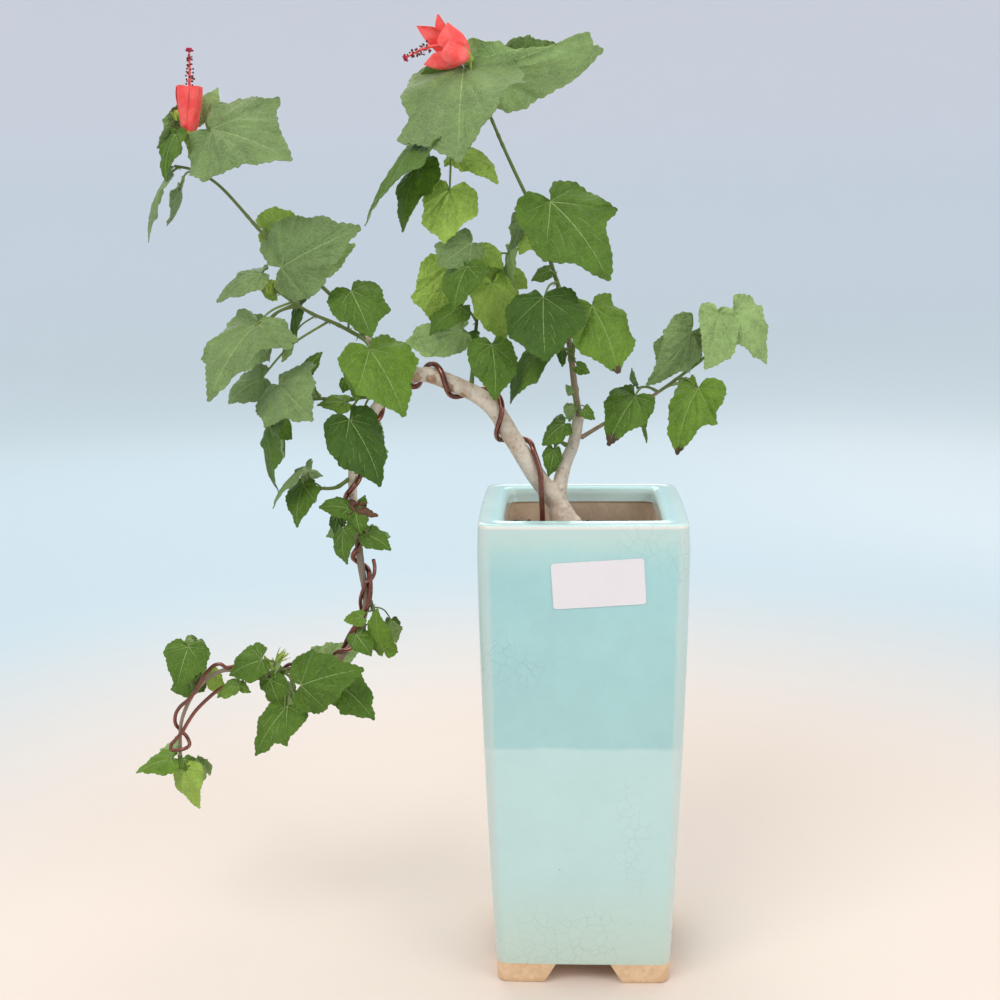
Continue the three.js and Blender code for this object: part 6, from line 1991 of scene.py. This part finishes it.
def make_studio(settings):
    """A round floor that curves up into a plain wall, far enough out to stand round any view."""
    corners, faces = [Vector((0, 0, 0))], []
    flat_end = STUDIO_RADIUS * 4 / 6
    profile = [(STUDIO_RADIUS * i / 6, 0.0) for i in range(1, 5)]
    for i in range(1, 13):
        turn = math.pi / 2 * i / 12
        profile.append((flat_end + STUDIO_BEND * math.sin(turn), STUDIO_BEND * (1 - math.cos(turn))))
    profile.append((flat_end + STUDIO_BEND, STUDIO_HEIGHT))
    for radius, height in profile:
        corners += [turned(turn, radius, height) for turn in round_steps(STUDIO_SIDES)]
    for k in range(STUDIO_SIDES):
        after = (k + 1) % STUDIO_SIDES
        faces.append((0, 1 + k, 1 + after))
        for j in range(len(profile) - 1):
            low, high = 1 + j * STUDIO_SIDES, 1 + (j + 1) * STUDIO_SIDES
            faces.append((low + k, high + k, high + after, low + after))
    mesh = bpy.data.meshes.new("studio")
    mesh.from_pydata([AXIS + corner for corner in corners], [], faces)
    mesh.shade_smooth()
    mesh.materials.append(studio_material(settings))
    new_object("studio", mesh)


def studio_material(settings):
    """Warm round the pot, cooler farther out, with a painted pool of light on the floor to the right, and
    evenly lit up the wall.
    """
    material, graph = new_material("Plain pale floor", 0.9, Emission_Strength=1.0, Specular_IOR_Level=0.1)
    parts = graph.place_parts()
    away = [graph.math("POWER", graph.minus(parts[i], AXIS[i]), 2.0) for i in (0, 1)]
    distance = graph.plus(graph.math("SQRT", graph.plus(*away)), parts[2])
    tint = graph.mix(graph.step(distance, *FAR_FADE), shade(settings.floor), shade(settings.far))
    tint = graph.mix(graph.step(distance, *WALL_FADE), tint, shade(settings.wall))
    tint = graph.mix(graph.step(distance, *HIGH_WALL_FADE), tint, shade(settings.high_wall))
    # Painted light: the middle of the floor turns lighter towards the right
    middle_floor = graph.times(graph.step(distance, 0.6, 1.3), graph.step(distance, 2.8, 1.6))
    lighter = graph.times(graph.step(parts[0], -0.1, 0.8, 0.0, 0.33), middle_floor)
    tint = graph.mix(lighter, tint, colour(250, 252, 255))
    glow = graph.mix(graph.step(distance, *GLOW_FADE), (0.0, 0.0, 0.0, 1.0), shade(settings.glow))
    graph.fill(graph.shader, {"Base Color": tint, "Emission Color": glow})
    material.cycles.emission_sampling = "NONE"
    return material


def make_lights(settings):
    for name, place, size, power, warmth in SOFTBOXES:
        data = bpy.data.lights.new(name, "AREA")
        data.shape = "RECTANGLE"
        data.size, data.size_y = size
        data.energy = power * settings.light
        data.color = warmth
        light = new_object(name, data)
        light.location = AXIS + Vector(place)
        target = AXIS + Vector(LIGHT_TARGET)
        light.rotation_euler = (target - light.location).to_track_quat("-Z", "Y").to_euler()
        light.visible_camera = False
    world = bpy.data.worlds.new("Studio air")
    bpy.context.scene.world = world
    world.use_nodes = True
    background = world.node_tree.nodes["Background"]
    background.inputs["Color"].default_value = AIR
    background.inputs["Strength"].default_value = AIR_STRENGTH
    bpy.context.scene.view_settings.view_transform = "Standard"


# Operators, one for each piece or group of like pieces


class BONSAI_OT_pot(bpy.types.Operator):
    """Make the glazed pot on its four feet"""

    bl_idname = "bonsai.pot"
    bl_label = "Pot"

    def execute(self, context):
        make_pot()
        return {"FINISHED"}


class BONSAI_OT_soil(bpy.types.Operator):
    """Fill the pot with soil and loose grains"""

    bl_idname = "bonsai.soil"
    bl_label = "Soil"

    def execute(self, context):
        make_soil()
        return {"FINISHED"}


class BONSAI_OT_label(bpy.types.Operator):
    """Stick the blank label on the front"""

    bl_idname = "bonsai.label"
    bl_label = "Label"

    def execute(self, context):
        make_label()
        return {"FINISHED"}


class BONSAI_OT_bark(bpy.types.Operator):
    """Clothe the trunk and the boughs in bark"""

    bl_idname = "bonsai.bark"
    bl_label = "Trunk and boughs"

    def execute(self, context):
        make_bark()
        return {"FINISHED"}


class BONSAI_OT_wires(bpy.types.Operator):
    """Wind the two training wires"""

    bl_idname = "bonsai.wires"
    bl_label = "Training wires"

    def execute(self, context):
        make_wires()
        return {"FINISHED"}


class BONSAI_OT_foliage(bpy.types.Operator):
    """Grow the masses of twigs and leaves"""

    bl_idname = "bonsai.foliage"
    bl_label = "Foliage"

    def execute(self, context):
        make_foliage()
        return {"FINISHED"}


class BONSAI_OT_flowers(bpy.types.Operator):
    """Add the flowers and buds"""

    bl_idname = "bonsai.flowers"
    bl_label = "Flowers and buds"

    def execute(self, context):
        make_flowers()
        return {"FINISHED"}


class BONSAI_OT_stage(bpy.types.Operator):
    """Set the camera, the studio and its light"""

    bl_idname = "bonsai.stage"
    bl_label = "Stage"

    def execute(self, context):
        settings = context.scene.bonsai_stage
        make_camera(settings)
        make_studio(settings)
        make_lights(settings)
        return {"FINISHED"}


OPERATORS = (
    BONSAI_OT_stage, BONSAI_OT_pot, BONSAI_OT_soil, BONSAI_OT_label, BONSAI_OT_bark, BONSAI_OT_wires,
    BONSAI_OT_foliage, BONSAI_OT_flowers,
)
SETTINGS = {
    "bonsai_pot": PotSettings, "bonsai_wood": WoodSettings, "bonsai_leaf": LeafSettings,
    "bonsai_flower": FlowerSettings, "bonsai_stage": StageSettings,
}


class BONSAI_PT_panel(bpy.types.Panel):
    """Lists the pieces and their settings"""

    bl_idname = "BONSAI_PT_panel"
    bl_label = "Cascade Bonsai"
    bl_space_type = "VIEW_3D"
    bl_region_type = "UI"
    bl_category = "Bonsai"

    def draw(self, context):
        for operator in OPERATORS:
            self.layout.operator(operator.bl_idname)
        for name, group in SETTINGS.items():
            box = self.layout.box()
            for key in group.__annotations__:
                box.prop(getattr(context.scene, name), key)


def register():
    for group in (*SETTINGS.values(), *OPERATORS, BONSAI_PT_panel):
        bpy.utils.register_class(group)
    for name, group in SETTINGS.items():
        setattr(bpy.types.Scene, name, bpy.props.PointerProperty(type=group))


def unregister():
    for name in SETTINGS:
        delattr(bpy.types.Scene, name)
    for group in reversed((*SETTINGS.values(), *OPERATORS, BONSAI_PT_panel)):
        bpy.utils.unregister_class(group)


def main():
    register()
    for operator in OPERATORS:
        name = operator.bl_idname.split(".")[1]
        if getattr(bpy.ops.bonsai, name)() != {"FINISHED"}:
            raise RuntimeError(operator.bl_label + " couldn't be made")


if __name__ == "__main__":
    main()
